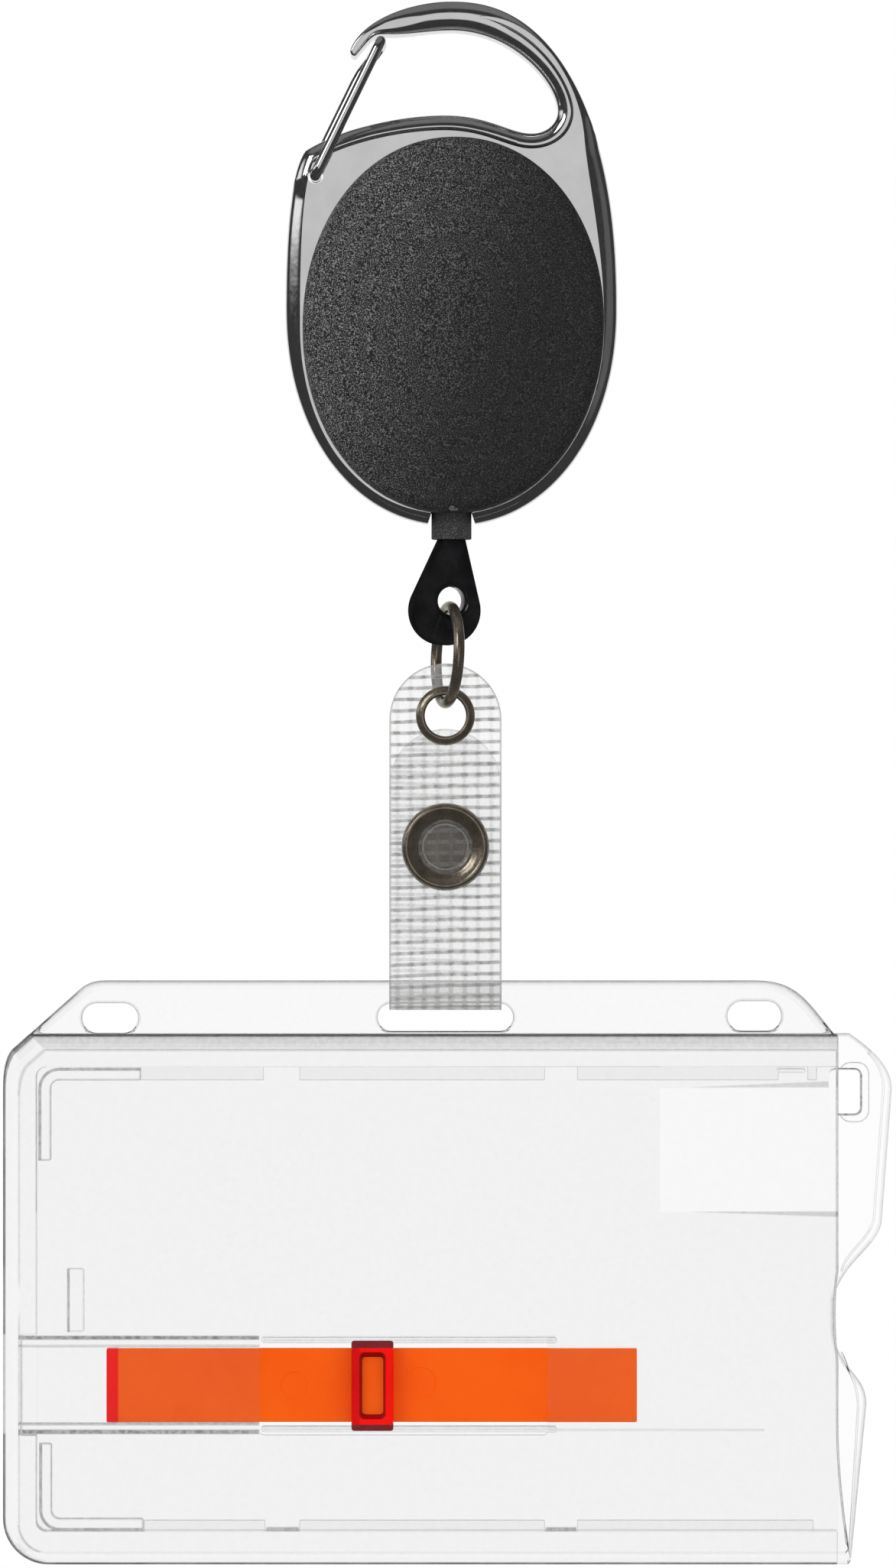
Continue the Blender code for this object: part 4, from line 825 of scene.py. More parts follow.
def gateWire():
    # the far leg bows to the left of the near one
    (x0, z0), (x1, z1) = gate["foot"], gate["catch"]
    out, bend = gate["out"], gate["bend"]
    length = math.hypot(x1 - x0, z1 - z0)
    stops = [(gate["footGap"], 0)]
    stops += bezierRun((out - bend, 0), (out - bend * 0.45, 0), (out, bend * 0.45), (out, bend), 10)
    stops += [(out, bend + (length - 2 * bend) * i / 12) for i in range(12)]
    stops += bezierRun((out, length - bend), (out, length - bend * 0.45), (out - bend * 0.45, length),
                       (out - bend, length), 10)
    stops += [(out - bend, length)]
    front = [(x0 + (x1 - x0) * s / length, -y, z0 + (z1 - z0) * s / length) for y, s in stops]
    path = list(front)
    for (x, y, z), (out, s) in zip(reversed(front), reversed(stops)):
        path.append((x - gate["spring"] * min(1, s / 2.5, (length - s) / 4), -y, z))
    wire = tube("gateWire", path, gate["wire"], 6)
    return finishPiece(wire, chrome, "gate", ["wire_gate"], 50, False)


gateWire()
print("wire gate made")


# Cord end

cordDrop = {"top": -60.2, "lean": 6.0, "turn": 16.0, "neck": 1.38, "rise": 0.62, "meet": 19.5, "reach": 8.0,
            "radius": 4.1, "half": 1.5, "edge": 1.1, "hole": 1.65, "holeReach": 6.8, "holeShift": 0.5,
            "flare": 0.75, "cord": 0.8, "cordBore": 0.7, "knot": 4.2, "knotBore": 0.95,
            "knotRoom": (-3.25, -6.8)}


def turned(degrees, axis):
    return Matrix.Rotation(math.radians(degrees), 4, axis)


def dropPlace():
    top = Matrix.Translation((0, 0, cordDrop["top"]))
    return top @ turned(cordDrop["lean"], "Y") @ turned(cordDrop["turn"], "Z")


def dropRun():
    neck, radius, reach = cordDrop["neck"], cordDrop["radius"], cordDrop["reach"]
    meet = math.radians(cordDrop["meet"])
    top = cordDrop["rise"]
    start = Vector((neck, top - 0.25))
    end = Vector((radius * math.cos(meet), -reach + radius * math.sin(meet)))
    right = [(neck - 0.25, top), (neck - 0.07, top - 0.07)]
    right += [tuple(start.lerp(end, i / 12)) for i in range(12)]
    bottom = arcRun((0, -reach), radius, cordDrop["meet"], -180 - cordDrop["meet"], 60, True)
    return right + bottom + [(-x, z) for x, z in reversed(right)]


def dropPiece():
    half, r, flare = cordDrop["half"], cordDrop["hole"], cordDrop["flare"]
    shift, reach = cordDrop["holeShift"], cordDrop["holeReach"]
    piece = roundEdges(slab("dropBody", dropRun(), -half, half), cordDrop["edge"], 6, 60)
    wall = [(0, 3), (r + flare + 0.5, half + 0.5)]
    wall += [(r + flare - x, half - flare + z) for x, z in arcRun((0, 0), flare, 90, 0, 8, True)][1:]
    profile = wall + [(x, -h) for x, h in reversed(wall)]
    hole = lathe("ringHole", profile, (shift, 0, -reach), closed=False)
    bore = rod("cordBore", cordDrop["cordBore"], 1, -6)
    pocket = rod("knotPocket", cordDrop["knotBore"], *cordDrop["knotRoom"])
    merge(piece, [hole, bore, pocket], "DIFFERENCE")
    piece.data.transform(dropPlace())
    finishPiece(piece, [blackSatin, blackGloss], "drop", ["cord_drop"])
    unplace = dropPlace().inverted()

    def holeGloss(centre, normal):
        x, y, z = unplace @ centre
        return int(math.hypot(x - shift, z + reach) < r + flare * 0.5)

    paint(piece, holeGloss)
    return piece


def cordPiece():
    # runs from the collar's mouth to the knot
    place = dropPlace()
    neck = place @ Vector((0, 0, -0.2))
    end = place @ Vector((0, 0, -cordDrop["knot"] + 0.95))
    path = [Vector((0, 0, -59.2 - 0.9 * i / 30)) for i in range(31)]
    path += [neck.lerp(end, i / 6) for i in range(7)]
    piece = tube("pullCord", [tuple(p) for p in path], cordDrop["cord"], 4)
    finishPiece(piece, braidedCord, None, ["cord_tail"], 60, False)
    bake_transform(piece)
    return piece


ring = {"x": -0.7108, "z": -73.368, "radius": 5.68, "wire": 1.31, "turn": 13.5, "cut": 1.6, "cutAt": 140,
        "lean": 2.6}


def ringPiece():
    bm = bmesh.new()
    circle = bmesh.ops.create_circle(bm, cap_ends=True, segments=24, radius=ring["wire"] / 2)
    bmesh.ops.rotate(bm, verts=circle["verts"], matrix=turned(90, "X"))
    bmesh.ops.translate(bm, vec=(ring["radius"], 0, 0), verts=circle["verts"])
    bmesh.ops.spin(bm, geom=everything(bm), cent=(0, 0, 0), axis=(0, 0, 1), steps=120,
                   angle=math.radians(360 - ring["cut"]), use_duplicate=False)
    weld(bm)
    stand = turned(ring["turn"], "Z") @ turned(90, "Y")
    stand = Matrix.Translation((ring["x"], 0, ring["z"])) @ stand @ turned(ring["cutAt"], "Z")
    bmesh.ops.transform(bm, matrix=stand, verts=bm.verts)
    # leans a little where it hangs in the eyelet
    bmesh.ops.rotate(bm, cent=(ring["x"], 0, ring["z"] - ring["radius"]), verts=bm.verts,
                     matrix=turned(ring["lean"], "Y"))
    return finishPiece(newObject("jumpRing", bm), gunmetal, "ring", ["jump_ring"], 50, False)


dropPiece()
cordPiece()
ringPiece()
print("cord end made")


# Strap

card = {"left": -52.751, "right": 45.539, "top": -118.013, "bottom": -180.413, "corner": 5.4,
        "cavityLeft": -48.851, "cavityTop": -121.913, "cavityBottom": -176.513, "flangeTop": -111.753,
        "flangeLeft": -42.611, "flangeRight": 35.639, "slope": 0.89, "notch": 0.45, "flangeHalf": 0.7}
strap = {"top": -74.403, "eyelet": -80.553, "snap": -96.003, "flapTop": -82.103, "spread": 1.15,
         "foldRadius": 2.306, "fold": -112.653, "hinge": -109.653, "socket": 5.15, "lift": 0.4,
         "hole": 2.78, "step": 0.5, "frontShift": 0.86, "backShift": 0.62, "backStrength": 0.55}


def frontPath():
    spread, fold, low = strap["spread"], strap["foldRadius"], strap["snap"] - strap["socket"]
    start, bend = (0, strap["eyelet"] - 4.0), (-spread, strap["eyelet"] - 10.5)
    middle = (start[1] + bend[1]) / 2
    path = [(0, strap["top"])] + bezierRun(start, (0, middle), (-spread, middle), bend, 16) + [bend]
    middle = (low + strap["hinge"]) / 2
    path += bezierRun((-spread, low), (-spread, middle), (-fold, middle), (-fold, strap["hinge"]), 16)
    return path + [(-fold, strap["hinge"])] + arcRun((0, strap["fold"]), fold, 180, 270, 20, True)


def backPath():
    spread, fold, low = strap["spread"], strap["foldRadius"], strap["snap"] - strap["socket"]
    start, flat = (fold, strap["hinge"]), (spread, low)
    high, end = (spread, strap["eyelet"] - 10.5), (spread + strap["lift"], strap["flapTop"])
    middle = (low + strap["hinge"]) / 2
    path = arcRun((0, strap["fold"]), fold, 270, 360, 20, True) + [start]
    path += bezierRun(start, (fold, middle), (spread, middle), flat, 16)[1:] + [flat]
    middle = (high[1] + end[1]) / 2
    return path + bezierRun(high, (spread, middle), (end[0], middle), end, 14) + [end]


def stripLength(path):
    return sum((Vector(b) - Vector(a)).length for a, b in zip(path, path[1:]))


def placeAlong(path, reach):
    for a, b in zip(path, path[1:]):
        a, b = Vector(a), Vector(b)
        step = (b - a).length
        if reach <= step:
            return a.lerp(b, reach / step)
        reach -= step
    return Vector(path[-1])


def vinylStrip(name, path, mapStart, hole=None, roundEnd="start"):
    # cut flat with its round end and eyelet hole, sliced across, then laid along its path
    half, length = strapCut["width"] / 2, stripLength(path)
    if roundEnd == "start":
        flat = [(x, -z) for x, z in arcRun((0, -half), half, 180, 0, 40, True)]
        flat += [(half, length), (-half, length)]
    else:
        flat = arcRun((0, length - half), half, 180, 0, 40, True) + [(half, 0), (-half, 0)]
    bm = bmesh.new()
    edges = addLoop(bm, atDepth(flat, 0))[1]
    if hole:
        edges += addLoop(bm, atDepth(arcRun((0, hole[0]), hole[1], 0, 360, 48), 0))[1]
    bmesh.ops.triangle_fill(bm, use_beauty=True, edges=edges)
    for i in range(1, int(length / strap["step"])):
        sliceAt(bm, "Z", i * strap["step"])
    cut = bm.loops.layers.uv.new("cut")
    for face in bm.faces:
        for loop in face.loops:
            x, s = loop.vert.co.x, loop.vert.co.z
            loop[cut].uv = (x / strapCut["width"] + 0.5, (s + mapStart) / strapCut["mapLength"])
    for vert in bm.verts:
        y, z = placeAlong(path, vert.co.z)
        vert.co = (ring["x"] + vert.co.x, y, z)
    bmesh.ops.recalc_face_normals(bm, faces=bm.faces)
    return thicken(newObject(name, bm), strapCut["thickness"], 0, even=True), length


def alongTo(path, height):
    # how far along the path it first passes a height
    for i in range(1, len(path)):
        (y0, z0), (y1, z1) = path[i - 1], path[i]
        if min(z0, z1) <= height <= max(z0, z1):
            share = (height - z0) / (z1 - z0)
            return stripLength(path[:i]) + share * math.hypot(y1 - y0, z1 - z0)


def strapLeaves():
    fold = stripLength(frontPath())
    end, backSnap = fold + stripLength(backPath()), fold + alongTo(backPath(), strap["snap"])
    flange = alongTo(frontPath(), card["flangeTop"])
    frontSnap = alongTo(frontPath(), strap["snap"])
    frontVinyl = vinylFinish("frontVinyl", strap["frontShift"], frontSnap, 0.0, flange, 1.0)
    backVinyl = vinylFinish("backVinyl", strap["backShift"], backSnap, end, end + 1, strap["backStrength"])
    hole = (strap["top"] - strap["eyelet"], strap["hole"])
    front, frontLength = vinylStrip("strapLeaf", frontPath(), 0, hole)
    finishPiece(front, frontVinyl, "strap", ["strap_front"], 40)
    back, backLength = vinylStrip("strapFlap", backPath(), frontLength, roundEnd="end")
    finishPiece(back, backVinyl, None, ["strap_flap"], 40)
    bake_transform(back)
    for leaf, length in ((front, frontLength), (back, backLength)):
        width = strapCut["width"]
        cutArea = width * length - (2 - math.pi / 2) * (width / 2) ** 2
        if leaf == front:
            cutArea -= math.pi * strap["hole"] ** 2
    print(f"strap cut: {strapCut['width']} by {frontLength + backLength:.1f} mm")


eyeletRim = {"bore": 2.43, "barrel": 2.68, "radius": 3.47, "face": 0.375, "flange": 0.5}


def eyeletPieces():
    bore, barrel, radius = eyeletRim["bore"], eyeletRim["barrel"], eyeletRim["radius"]
    face, flange = eyeletRim["face"], eyeletRim["flange"]
    # rolled highest close to the bore
    rise = [(1.0, 0), (0.93, 0.25), (0.75, 0.58), (0.5, 0.87), (0.32, 0.98), (0.24, 1.0), (0.16, 0.98),
            (0.07, 0.85), (0, 0.55)]
    rolled = [(bore + (radius - bore) * share, -face - flange * height) for share, height in rise]
    profile = [(bore, face + flange), (barrel, face + flange), (barrel, -face)] + rolled
    piece = lathe("eyeletRim", profile, (ring["x"], 0, strap["eyelet"]), steps=72)
    finishPiece(piece, gunmetal, "strap", ["eyelet"])
    inner = barrel + 0.1
    middle, reach = (inner + radius) / 2, (radius - inner) / 2
    arc = arcRun((0, 0), reach, 180, 0, 12, True)
    rolled = [(middle + x, face + z * flange * 0.8 / reach) for x, z in arc]
    washer = lathe("eyeletWasher", rolled, (ring["x"], 0, strap["eyelet"]), steps=72)
    finishPiece(washer, gunmetal, "strap", ["eyelet_washer"])


snap = {"radius": 4.78, "rim": 5.05, "near": 1.525, "socketFace": -0.775, "plate": 0.35, "boss": 2.9,
        "bore": 2.1, "mouth": -0.1, "groove": 2.65, "grooveHalf": 0.3, "studFace": 0.775, "stud": 1.75,
        "tip": -0.3}


def snapPieces():
    centre = (ring["x"], 0, strap["snap"])
    section = [(0, 0), (0, 0.22), (0.07, 0.42), (0.2, 0.57), (0.34, 0.638), (0.45, 0.65), (0.56, 0.638),
               (0.7, 0.57), (0.9, 0.42), (1.15, 0.24), (1.45, 0.1), (1.75, 0.03), (1.8, 0)]
    for name, side, body, node in (("snapFrontRing", -1, "strap", "snap_front_ring"),
                                   ("snapBackRing", 1, "flap", "snap_back_ring")):
        profile = [(snap["rim"] - inset, side * (snap["near"] + rise)) for inset, rise in section]
        finishPiece(lathe(name, profile, centre, steps=72), gunmetal, body, [node])
    face, plate, rim = snap["socketFace"], snap["socketFace"] + snap["plate"], strap["socket"]
    arc = arcRun((0, 0), snap["grooveHalf"], 0, 180, 10, True)
    groove = [(snap["groove"] + x, face + 0.02 + z * 0.5) for x, z in arc]
    bore, boss, mouth = snap["bore"], snap["boss"], snap["mouth"]
    profile = [(0, plate), (bore, plate), (bore, mouth), (boss, mouth), (boss, plate), (rim - 0.1, plate),
               (rim, plate - 0.1), (rim, face + 0.1), (rim - 0.1, face), (3.0, face)]
    profile += groove + [(1.6, face), (0, face)]
    socket = lathe("snapSocket", profile, centre, steps=72, closed=False)
    finishPiece(socket, [shadedSocketMetal, gunmetal], "strap", ["snap_socket"])

    # the socket is painted dark as a painted shade in its hollow; only the groove's ring keeps the plain
    # gunmetal
    def grooveMetal(place, normal):
        reach = math.hypot(place.x - ring["x"], place.z - strap["snap"])
        return int(2.3 < reach < 3.0 and normal.y < -0.05)

    paint(socket, grooveMetal)
    face, plate, tip = snap["studFace"], snap["studFace"] - snap["plate"], snap["tip"]
    radius, stud = snap["radius"], snap["stud"]
    profile = [(0, face), (radius - 0.1, face), (radius, face - 0.1), (radius, plate),
               (stud + 0.15, plate), (stud, plate - 0.15), (stud, tip + 0.2), (stud - 0.06, tip + 0.06),
               (stud - 0.2, tip), (0, tip)]
    piece = lathe("snapStud", profile, centre, steps=72, closed=False)
    finishPiece(piece, gunmetal, "flap", ["snap_stud"])


strapLeaves()
eyeletPieces()
snapPieces()
print("strap made")


# Card holder

panel = {"front": -2.6, "inside": -1.5, "back": 2.4, "floor": 1.2, "rightShare": 0.16, "railLeft": -50.6,
         "swell": (-50.2, -2.25, -149.3), "swellSize": (1.9, 0.4, 2.9)}
slide = {"left": -40.611, "width": 62.45, "low": -163.713, "high": -155.013, "front": -1.2, "back": -0.3,
         "thumb": -11.771, "thumbWidth": 4.96, "thumbHalf": 5.3, "window": (-22.571, 11.289),
         "windowHalf": 5.8, "pusher": 1.4, "marks": ((-18.51, -159.37, 1.53), (-3.65, -159.1, 1.8))}
slideMiddle = (slide["low"] + slide["high"]) / 2


def leftSide(inset=0.0, lowInset=None):
    left, low = card["left"] + inset, card["bottom"] + (inset if lowInset is None else lowInset)
    radius = card["corner"] - inset
    run = (card["flangeTop"] - card["top"]) / card["slope"]
    top = (card["flangeLeft"] - run + inset, card["top"] - inset)
    under = (top[0] - 2.0, top[1] - 2.0 * card["slope"])
    points = arcRun((left + radius, low + radius), radius, 270, 180, 20, True)
    points += bezierRun((left, card["top"] - 6.3 - inset), (left, card["top"] - 4.2 - inset),
                        (under[0] - 0.8, under[1] - 0.8), under, 14)
    return points + [under, top]


def frontRun(inset=0.0, rightInset=0.0):
    right, middle = card["right"] - rightInset, card["top"] - 33
    dent, bottom, low = right - card["notch"], card["bottom"], card["bottom"] + inset * 0.75
    foot = (right + 1.15, bottom + 2.6)
    edge = [(right, card["top"] - inset), (right, middle + 6)]
    edge += bezierRun((right, middle + 5), (dent, middle + 3), (dent, middle - 3), (right, middle - 5), 16)
    edge += [(right, middle - 6)]
    edge += bezierRun((right, bottom + 17), (right, bottom + 11), (right + 0.7, bottom + 6), foot, 10)
    return leftSide(inset, inset * 0.75) + edge + [foot, (right + 1.4, low + 0.4), (right + 1.1, low)]


def backRun():
    right, top = card["right"], card["top"]
    upper, lower, dent = right + 6.45, right + 3.45, right - card["notch"]
    tip, foot = (upper, top - 6.6), (lower, top - 43.8)
    points = leftSide() + [(right + 1.0, top)]
    points += bezierRun((right + 1.4, top), (right + 4.6, top - 2.2), (upper, top - 4.2), tip, 18) + [tip]
    points += curveRun((upper - 1.2, top - 22.4),
                       ((upper - 1.8, top - 25.4), (right + 0.6, top - 27), (dent, top - 31.4), 18),
                       ((dent, top - 33), (dent, top - 34.5), (dent, top - 35), 4),
                       ((right, top - 40), (lower, top - 40), foot, 18))
    return points + [foot, (right + 1.6, card["bottom"])]


def wallRun():
    right = card["right"] - 0.1
    inner = [(right, card["cavityTop"]), (card["cavityLeft"] + 1.2, card["cavityTop"])]
    inner += arcRun((card["cavityLeft"] + 1.2, card["cavityTop"] - 1.2), 1.2, 90, 180, 8, True)
    inner += arcRun((card["cavityLeft"] + 1.2, card["cavityBottom"] + 1.2), 1.2, 180, 270, 8, True)
    inner += [(right, card["cavityBottom"])]
    return leftSide(0.5) + [(right, card["top"] - 0.5)] + inner + [(right, card["bottom"] + 0.5)]


def flangeRun():
    high, low, height = card["flangeTop"], card["top"] - 1.95, card["flangeTop"] - card["top"]
    left, right, span = card["flangeLeft"], card["flangeRight"], 9.9
    slope, end = (left - height / card["slope"], card["top"]), (card["right"] - card["notch"], card["top"])
    points = [(slope[0] + 2.7, low), slope]
    points += bezierRun((left - 1.6, high - 1.6 * card["slope"]), (left - 0.5, high - 0.4),
                        (left + 0.3, high), (left + 2.0, high), 10) + [(left + 2.0, high)]
    points += bezierRun((right, high), (right + span * 0.52, high),
                        (right + span * 0.62, high - height * 0.37), end, 20)
    return points + [end, (end[0], low)]


ribs = {"width": 1.5, "turn": 1.7, "edge": 0.28, "front": 0.55, "line": 0.36, "lineFront": 0.45,
        "sideFront": 0.75, "faintFront": 0.65, "guideFront": -0.9, "catchFront": -1.0, "lipFront": -1.35,
        "lipBack": -0.8, "ledge": 0.12, "corners": (("upperRib", (-47.95, -122.8), -133.0, -36.6),
                                                    ("lowerRib", (-47.85, -175.9), -166.3, -36.3))}

# name, left, right, low, high, front and edge; small windows break the lips over the card's long edges
# the lines at lineFront and faintFront and the guides' fronts carry a painted shade for edges seen through
# the clear plastic
trayBoxes = [("sideRib", -45.3, -43.3, -153.2, -145.7, "sideFront", 0.25),
             ("sideRibLine", -45.3, -45.0, -153.2, -145.7, "lineFront", 0),
             ("upperGuide", -22.4, 12.4, -154.45, -153.75, "guideFront", 0.24),
             ("lowerGuide", -22.4, 12.4, -164.95, -164.25, "guideFront", 0.24),
             ("guideRun", 12.3, 36.9, -164.92, -164.68, "faintFront", 0),
             ("upperLip", -36.6, -22.1, -123.45, -121.7, "lipFront", 0.1),
             ("upperLip", -17.9, 11.0, -123.45, -121.7, "lipFront", 0.1),
             ("upperLip", 14.8, 38.5, -123.45, -121.7, "lipFront", 0.1),
             ("upperLip", 41.9, 43, -123.45, -121.7, "lipFront", 0.1),
             ("lowerLip", -36.2, -21.9, -176.8, -175.2, "lipFront", 0.1),
             ("lowerLip", -17.9, 11.0, -176.8, -175.2, "lipFront", 0.1),
             ("lowerLip", 14.8, 42.6, -176.8, -175.2, "lipFront", 0.1),
             ("catch", 38.3, 41.7, -122.6, -122.1, "catchFront", 0.2),
             ("windowLine", -21.8, -18.0, -176.56, -176.24, "lineFront", 0),
             ("windowLine", 11.1, 14.7, -176.56, -176.24, "lineFront", 0)]

# zones of (left, right, low, high, shade), and which crests show dark
trayShades = {"sloping": [(-60, -52, -190, -100, 0.0), (-60, 60, -181, -179.8, 0.0),
                          (-60, 60, -112.9, -111, 0.55), (-49, -36, -133.3, -121.9, 1.0),
                          (-49, -36, -177, -166, 1.0), (44.5, 49.5, -128.7, -121.2, 1.0),
                          (49.5, 60, -190, -100, 0.55), (-60, 60, -190, -100, 0.75)],
              "pale": [(24.6, 45.4, -139.1, -124.5, 0.004), (45.65, 60, -190, -100, 0.022)],
              "crests": [(ribs["lineFront"], 0.8), (panel["floor"] + ribs["ledge"], 0.9),
                         (ribs["faintFront"], 0.3), (ribs["guideFront"], 0.45)]}


def markFaces(obj, rule):
    # rule gives the shade of a face from its centre in millimetres and its normal, or nothing to leave it
    shade = obj.data.attributes["edgeShade"].data
    for face in obj.data.polygons:
        level = rule(face.center / mm, face.normal)
        if level is not None:
            shade[face.index].value = level


def ribPath(corner, upright, flat, radius):
    # an L along the cavity's corner: down or up one side and along the other
    x, z = corner
    up = 1 if upright > z else -1
    path = [(x, upright)]
    path += arcRun((x + radius, z + up * radius), radius, 180, 180 + up * 90, 10, True)
    return path + [(flat, z)]


def slotCutter(name, x, z, width, height):
    # flares where it comes out, so the slot's rims are rounded
    half = [(0.4, 0), (0.6, 0.12), (0.7, 0.3), (1.0, 0.55)]
    loops = []
    for depth, spread in [(-d, s) for d, s in reversed(half)] + half:
        loops.append(atDepth(roundSlot(x, z, width + 2 * spread, height + 2 * spread), depth))
    return rings(name, loops)


# name, x, z, width and height
flangeSlots = [("strapSlot", ring["x"], -116.083, 15.95, 3.26), ("leftSlot", -40.211, -116.183, 6.6, 3.5),
               ("rightSlot", 35.689, -115.933, 6.35, 3.5)]


def hangFlange():
    half = [(0.07, 0.36), (0.28, 0.68), (0.6, 0.88), (1.1, 1)]
    run, loops = flangeRun(), []
    for inset, share in [(i, -s) for i, s in reversed(half)] + [(0, 0)] + half:
        loops.append(atDepth(spreadRun(run, -inset), share * card["flangeHalf"]))
    flange = rings("hangFlange", loops)
    return merge(flange, [slotCutter(*slot) for slot in flangeSlots], "DIFFERENCE")


rampCorners = [(22.9, 1.0, -124.4), (22.9, 1.0, -139.05), (45.6, 1.0, -139.85), (45.6, 1.0, -123.4),
               (45.6, 1.9, -139.05), (45.6, 1.9, -124.4)]


def thumbRamp():
    # wedge sunk in the back wall that deepens towards the open side
    bm = bmesh.new()
    for place in rampCorners:
        bm.verts.new(place)
    bmesh.ops.convex_hull(bm, input=bm.verts)
    bmesh.ops.recalc_face_normals(bm, faces=bm.faces)
    return newObject("thumbRamp", bm)


def trayDetails():
    floor = panel["floor"] + 0.3
    made = []
    for name, corner, upright, flat in ribs["corners"]:
        stroke = strokeRun(ribPath(corner, upright, flat, ribs["turn"]), ribs["width"])
        made.append(roundEdges(slab(name, stroke, ribs["front"], floor), ribs["edge"], 3, 50))
        # a line along its outer side, painted dark as a painted shade for the rib's edge
        reach = (ribs["width"] - ribs["line"]) / 2
        outer = (corner[0] - reach, corner[1] + (-reach if upright > corner[1] else reach))
        stroke = strokeRun(ribPath(outer, upright, flat, ribs["turn"] + reach), ribs["line"])
        made.append(slab(name + "Line", stroke, ribs["lineFront"], floor))
    for name, left, right, low, high, front, edge in trayBoxes:
        back = ribs["lipBack"] if front == "lipFront" else floor
        made.append(flatBox(name, left, right, low, high, ribs[front], back, edge))
    return made


def tabRim():
    # fine ridge that follows the tabs' outer edge
    right, top = card["right"], card["top"]
    upper, lower = right + 5.45, right + 2.45
    foot = (lower, top - 44.2)
    first = bezierRun((right + 3.6, top - 2.2), (upper - 0.4, top - 3.8), (upper, top - 5.0),
                      (upper, top - 7.0), 12)
    first += bezierRun((upper - 1.15, top - 22.0), (upper - 1.8, top - 24.6), (right + 0.6, top - 26),
                       (right + 0.4, top - 28.6), 16)
    second = bezierRun((right + 0.5, top - 37.6), (right + 1.3, top - 40.2), (lower, top - 41), foot, 14)
    second += [foot, (right + 1.4, card["bottom"] + 1.0)]
    made = []
    for name, path in (("upperTabRim", first), ("lowerTabRim", second)):
        rim = slab(name, strokeRun(path, 0.3), panel["floor"] - 0.16, panel["floor"] + 0.3)
        made.append(roundEdges(rim, 0.1, 1, 50))
    return made


# left, right, low, high and corner radius
clip = {"window": (44.5, 48.24, -127.5, -122.3, 0.7), "ledge": (44.5, 48.46, -127.72, -122.08, 0.9),
        "rim": (45.7, 49.3, -128.5, -121.4, 1.4)}


def holderTray():
    floor = panel["floor"]
    tray = roundEdges(slab("holderTray", backRun(), floor, panel["back"]), 0.45, 3, 50)
    window = slab("clipWindow", boxRun(*clip["window"]), 0, 4)
    # the ledge's floor is painted dark, a painted shade round the clip window
    ledge = slab("clipLedge", boxRun(*clip["ledge"]), 0, floor + ribs["ledge"])
    halo = slab("clipRim", boxRun(*clip["rim"]), floor - 0.18, floor + 0.3)
    walls = slab("holderWalls", wallRun(), panel["inside"] + 0.1, floor + 0.4)
    merge(tray, [roundEdges(halo, 0.17, 2, 50)], "UNION")
    merge(tray, [window, ledge, thumbRamp()], "DIFFERENCE")
    merge(tray, [roundEdges(walls, 0.18, 2, 50), hangFlange()], "UNION")
    channel = flatBox("slideChannel", card["cavityLeft"] - 1.9, card["cavityLeft"] + 1, slide["low"] - 1.6,
                      slide["high"] + 1.7, -3, floor - 0.3, 0.25)
    merge(tray, [channel], "DIFFERENCE")
    merge(tray, trayDetails() + tabRim(), "UNION")
    finishPiece(tray, frostedClear, "holder", ["holder_back"], 12, clear=trayShades["sloping"],
                pale=trayShades["pale"])

    def crestShade(centre, normal):
        crests = [level for front, level in trayShades["crests"] if abs(centre.y - front) < 0.02]
        return crests[0] if crests and normal.y < -0.99 else None

    markFaces(tray, crestShade)
    return tray


# name, low, high and shade
railLines = [("upperRail", -154.0, -153.55, 0.9), ("upperLine", -154.88, -154.62, 0.5),
             ("lowerLine", -164.07, -163.75, 0.75), ("lowerRail", -165.1, -164.6, 0.88)]
faceShades = [(-60, -50.95, -190, -100, 0.04), (-60, 60, -181, -178.9, 0.16), (44.8, 60, -190, -100, 0.8),
              (-49, -22, -154.2, -153.3, 1.0), (-49, -22, -165.2, -164.4, 0.95), (-60, 60, -190, -100, 0.7)]


def holderFace():
    # the rim rolls over to the edge and a fine groove runs round inside it
    front = panel["front"]
    steps = [(0.0, panel["inside"]), (0.0, -1.85), (0.22, -2.14), (0.6, -2.4), (1.1, -2.55), (1.6, front),
             (1.72, -2.56), (1.84, -2.42), (1.96, -2.56), (2.08, front)]
    share = panel["rightShare"]
    face = rings("holderFace", [atDepth(frontRun(inset, inset * share), depth) for inset, depth in steps])
    (left, right), half = slide["window"], slide["windowHalf"]
    window = slab("thumbWindow", boxRun(left, right, slideMiddle - half, slideMiddle + half, 0.5), -4, 0)
    merge(face, [window], "DIFFERENCE")
    inside, back = panel["inside"] - 0.1, slide["back"] - 0.2
    rails = []
    for name, low, high, level in railLines:
        rails.append(flatBox(name, panel["railLeft"], left - 0.05, low, high, inside, back, 0.05))
    swell = ball("sideBump", 1, panel["swell"], 32, 18, panel["swellSize"])
    merge(face, rails + [swell], "UNION")
    finishPiece(face, frostedClear, "holder", ["holder_front"], 12, clear=faceShades)

    def edgeShade(centre, normal):
        # the rails' flat backs are painted dark, a painted shade
        if normal.y > 0.99 and abs(centre.y - back) < 0.02:
            return next(level for name, low, high, level in railLines if low < centre.z < high)
        # the upper edge leans back and is painted darkest, a painted shade
        drop = card["top"] - centre.z
        return 0.66 - 0.2 * drop if drop < 1.7 and normal.z > 0.04 and abs(normal.x) < 0.3 else None

    markFaces(face, edgeShade)
    return face


def slidePiece():
    left, right, low, high = slide["left"], slide["left"] + slide["width"], slide["low"], slide["high"]
    bar = flatBox("slideBar", left, right, low, high, slide["front"], slide["back"], 0.15)
    pusher = flatBox("pusher", left + 0.02, left + slide["pusher"], low + 0.02, high - 0.02,
                     slide["back"] - 0.4, 0.6, 0.12)
    merge(bar, [pusher], "UNION")
    marks = []
    for x, z, radius in slide["marks"]:
        profile = [(0, -0.5), (radius + 0.12, -0.5), (radius + 0.06, 0.0), (radius, 0.06), (0, 0.06)]
        marks.append(lathe("mouldMark", profile, (x, slide["front"], z), steps=48, closed=False))
    merge(bar, marks, "DIFFERENCE")
    bm = openMesh(bar)
    sliceAt(bm, "X", left + slide["pusher"])
    closeMesh(bm, bar)
    finishPiece(bar, [orangeTint, redTint], "ejector", ["ejector_slide"])
    paint(bar, lambda centre, normal: int(centre.x < left + slide["pusher"]))
    return bar


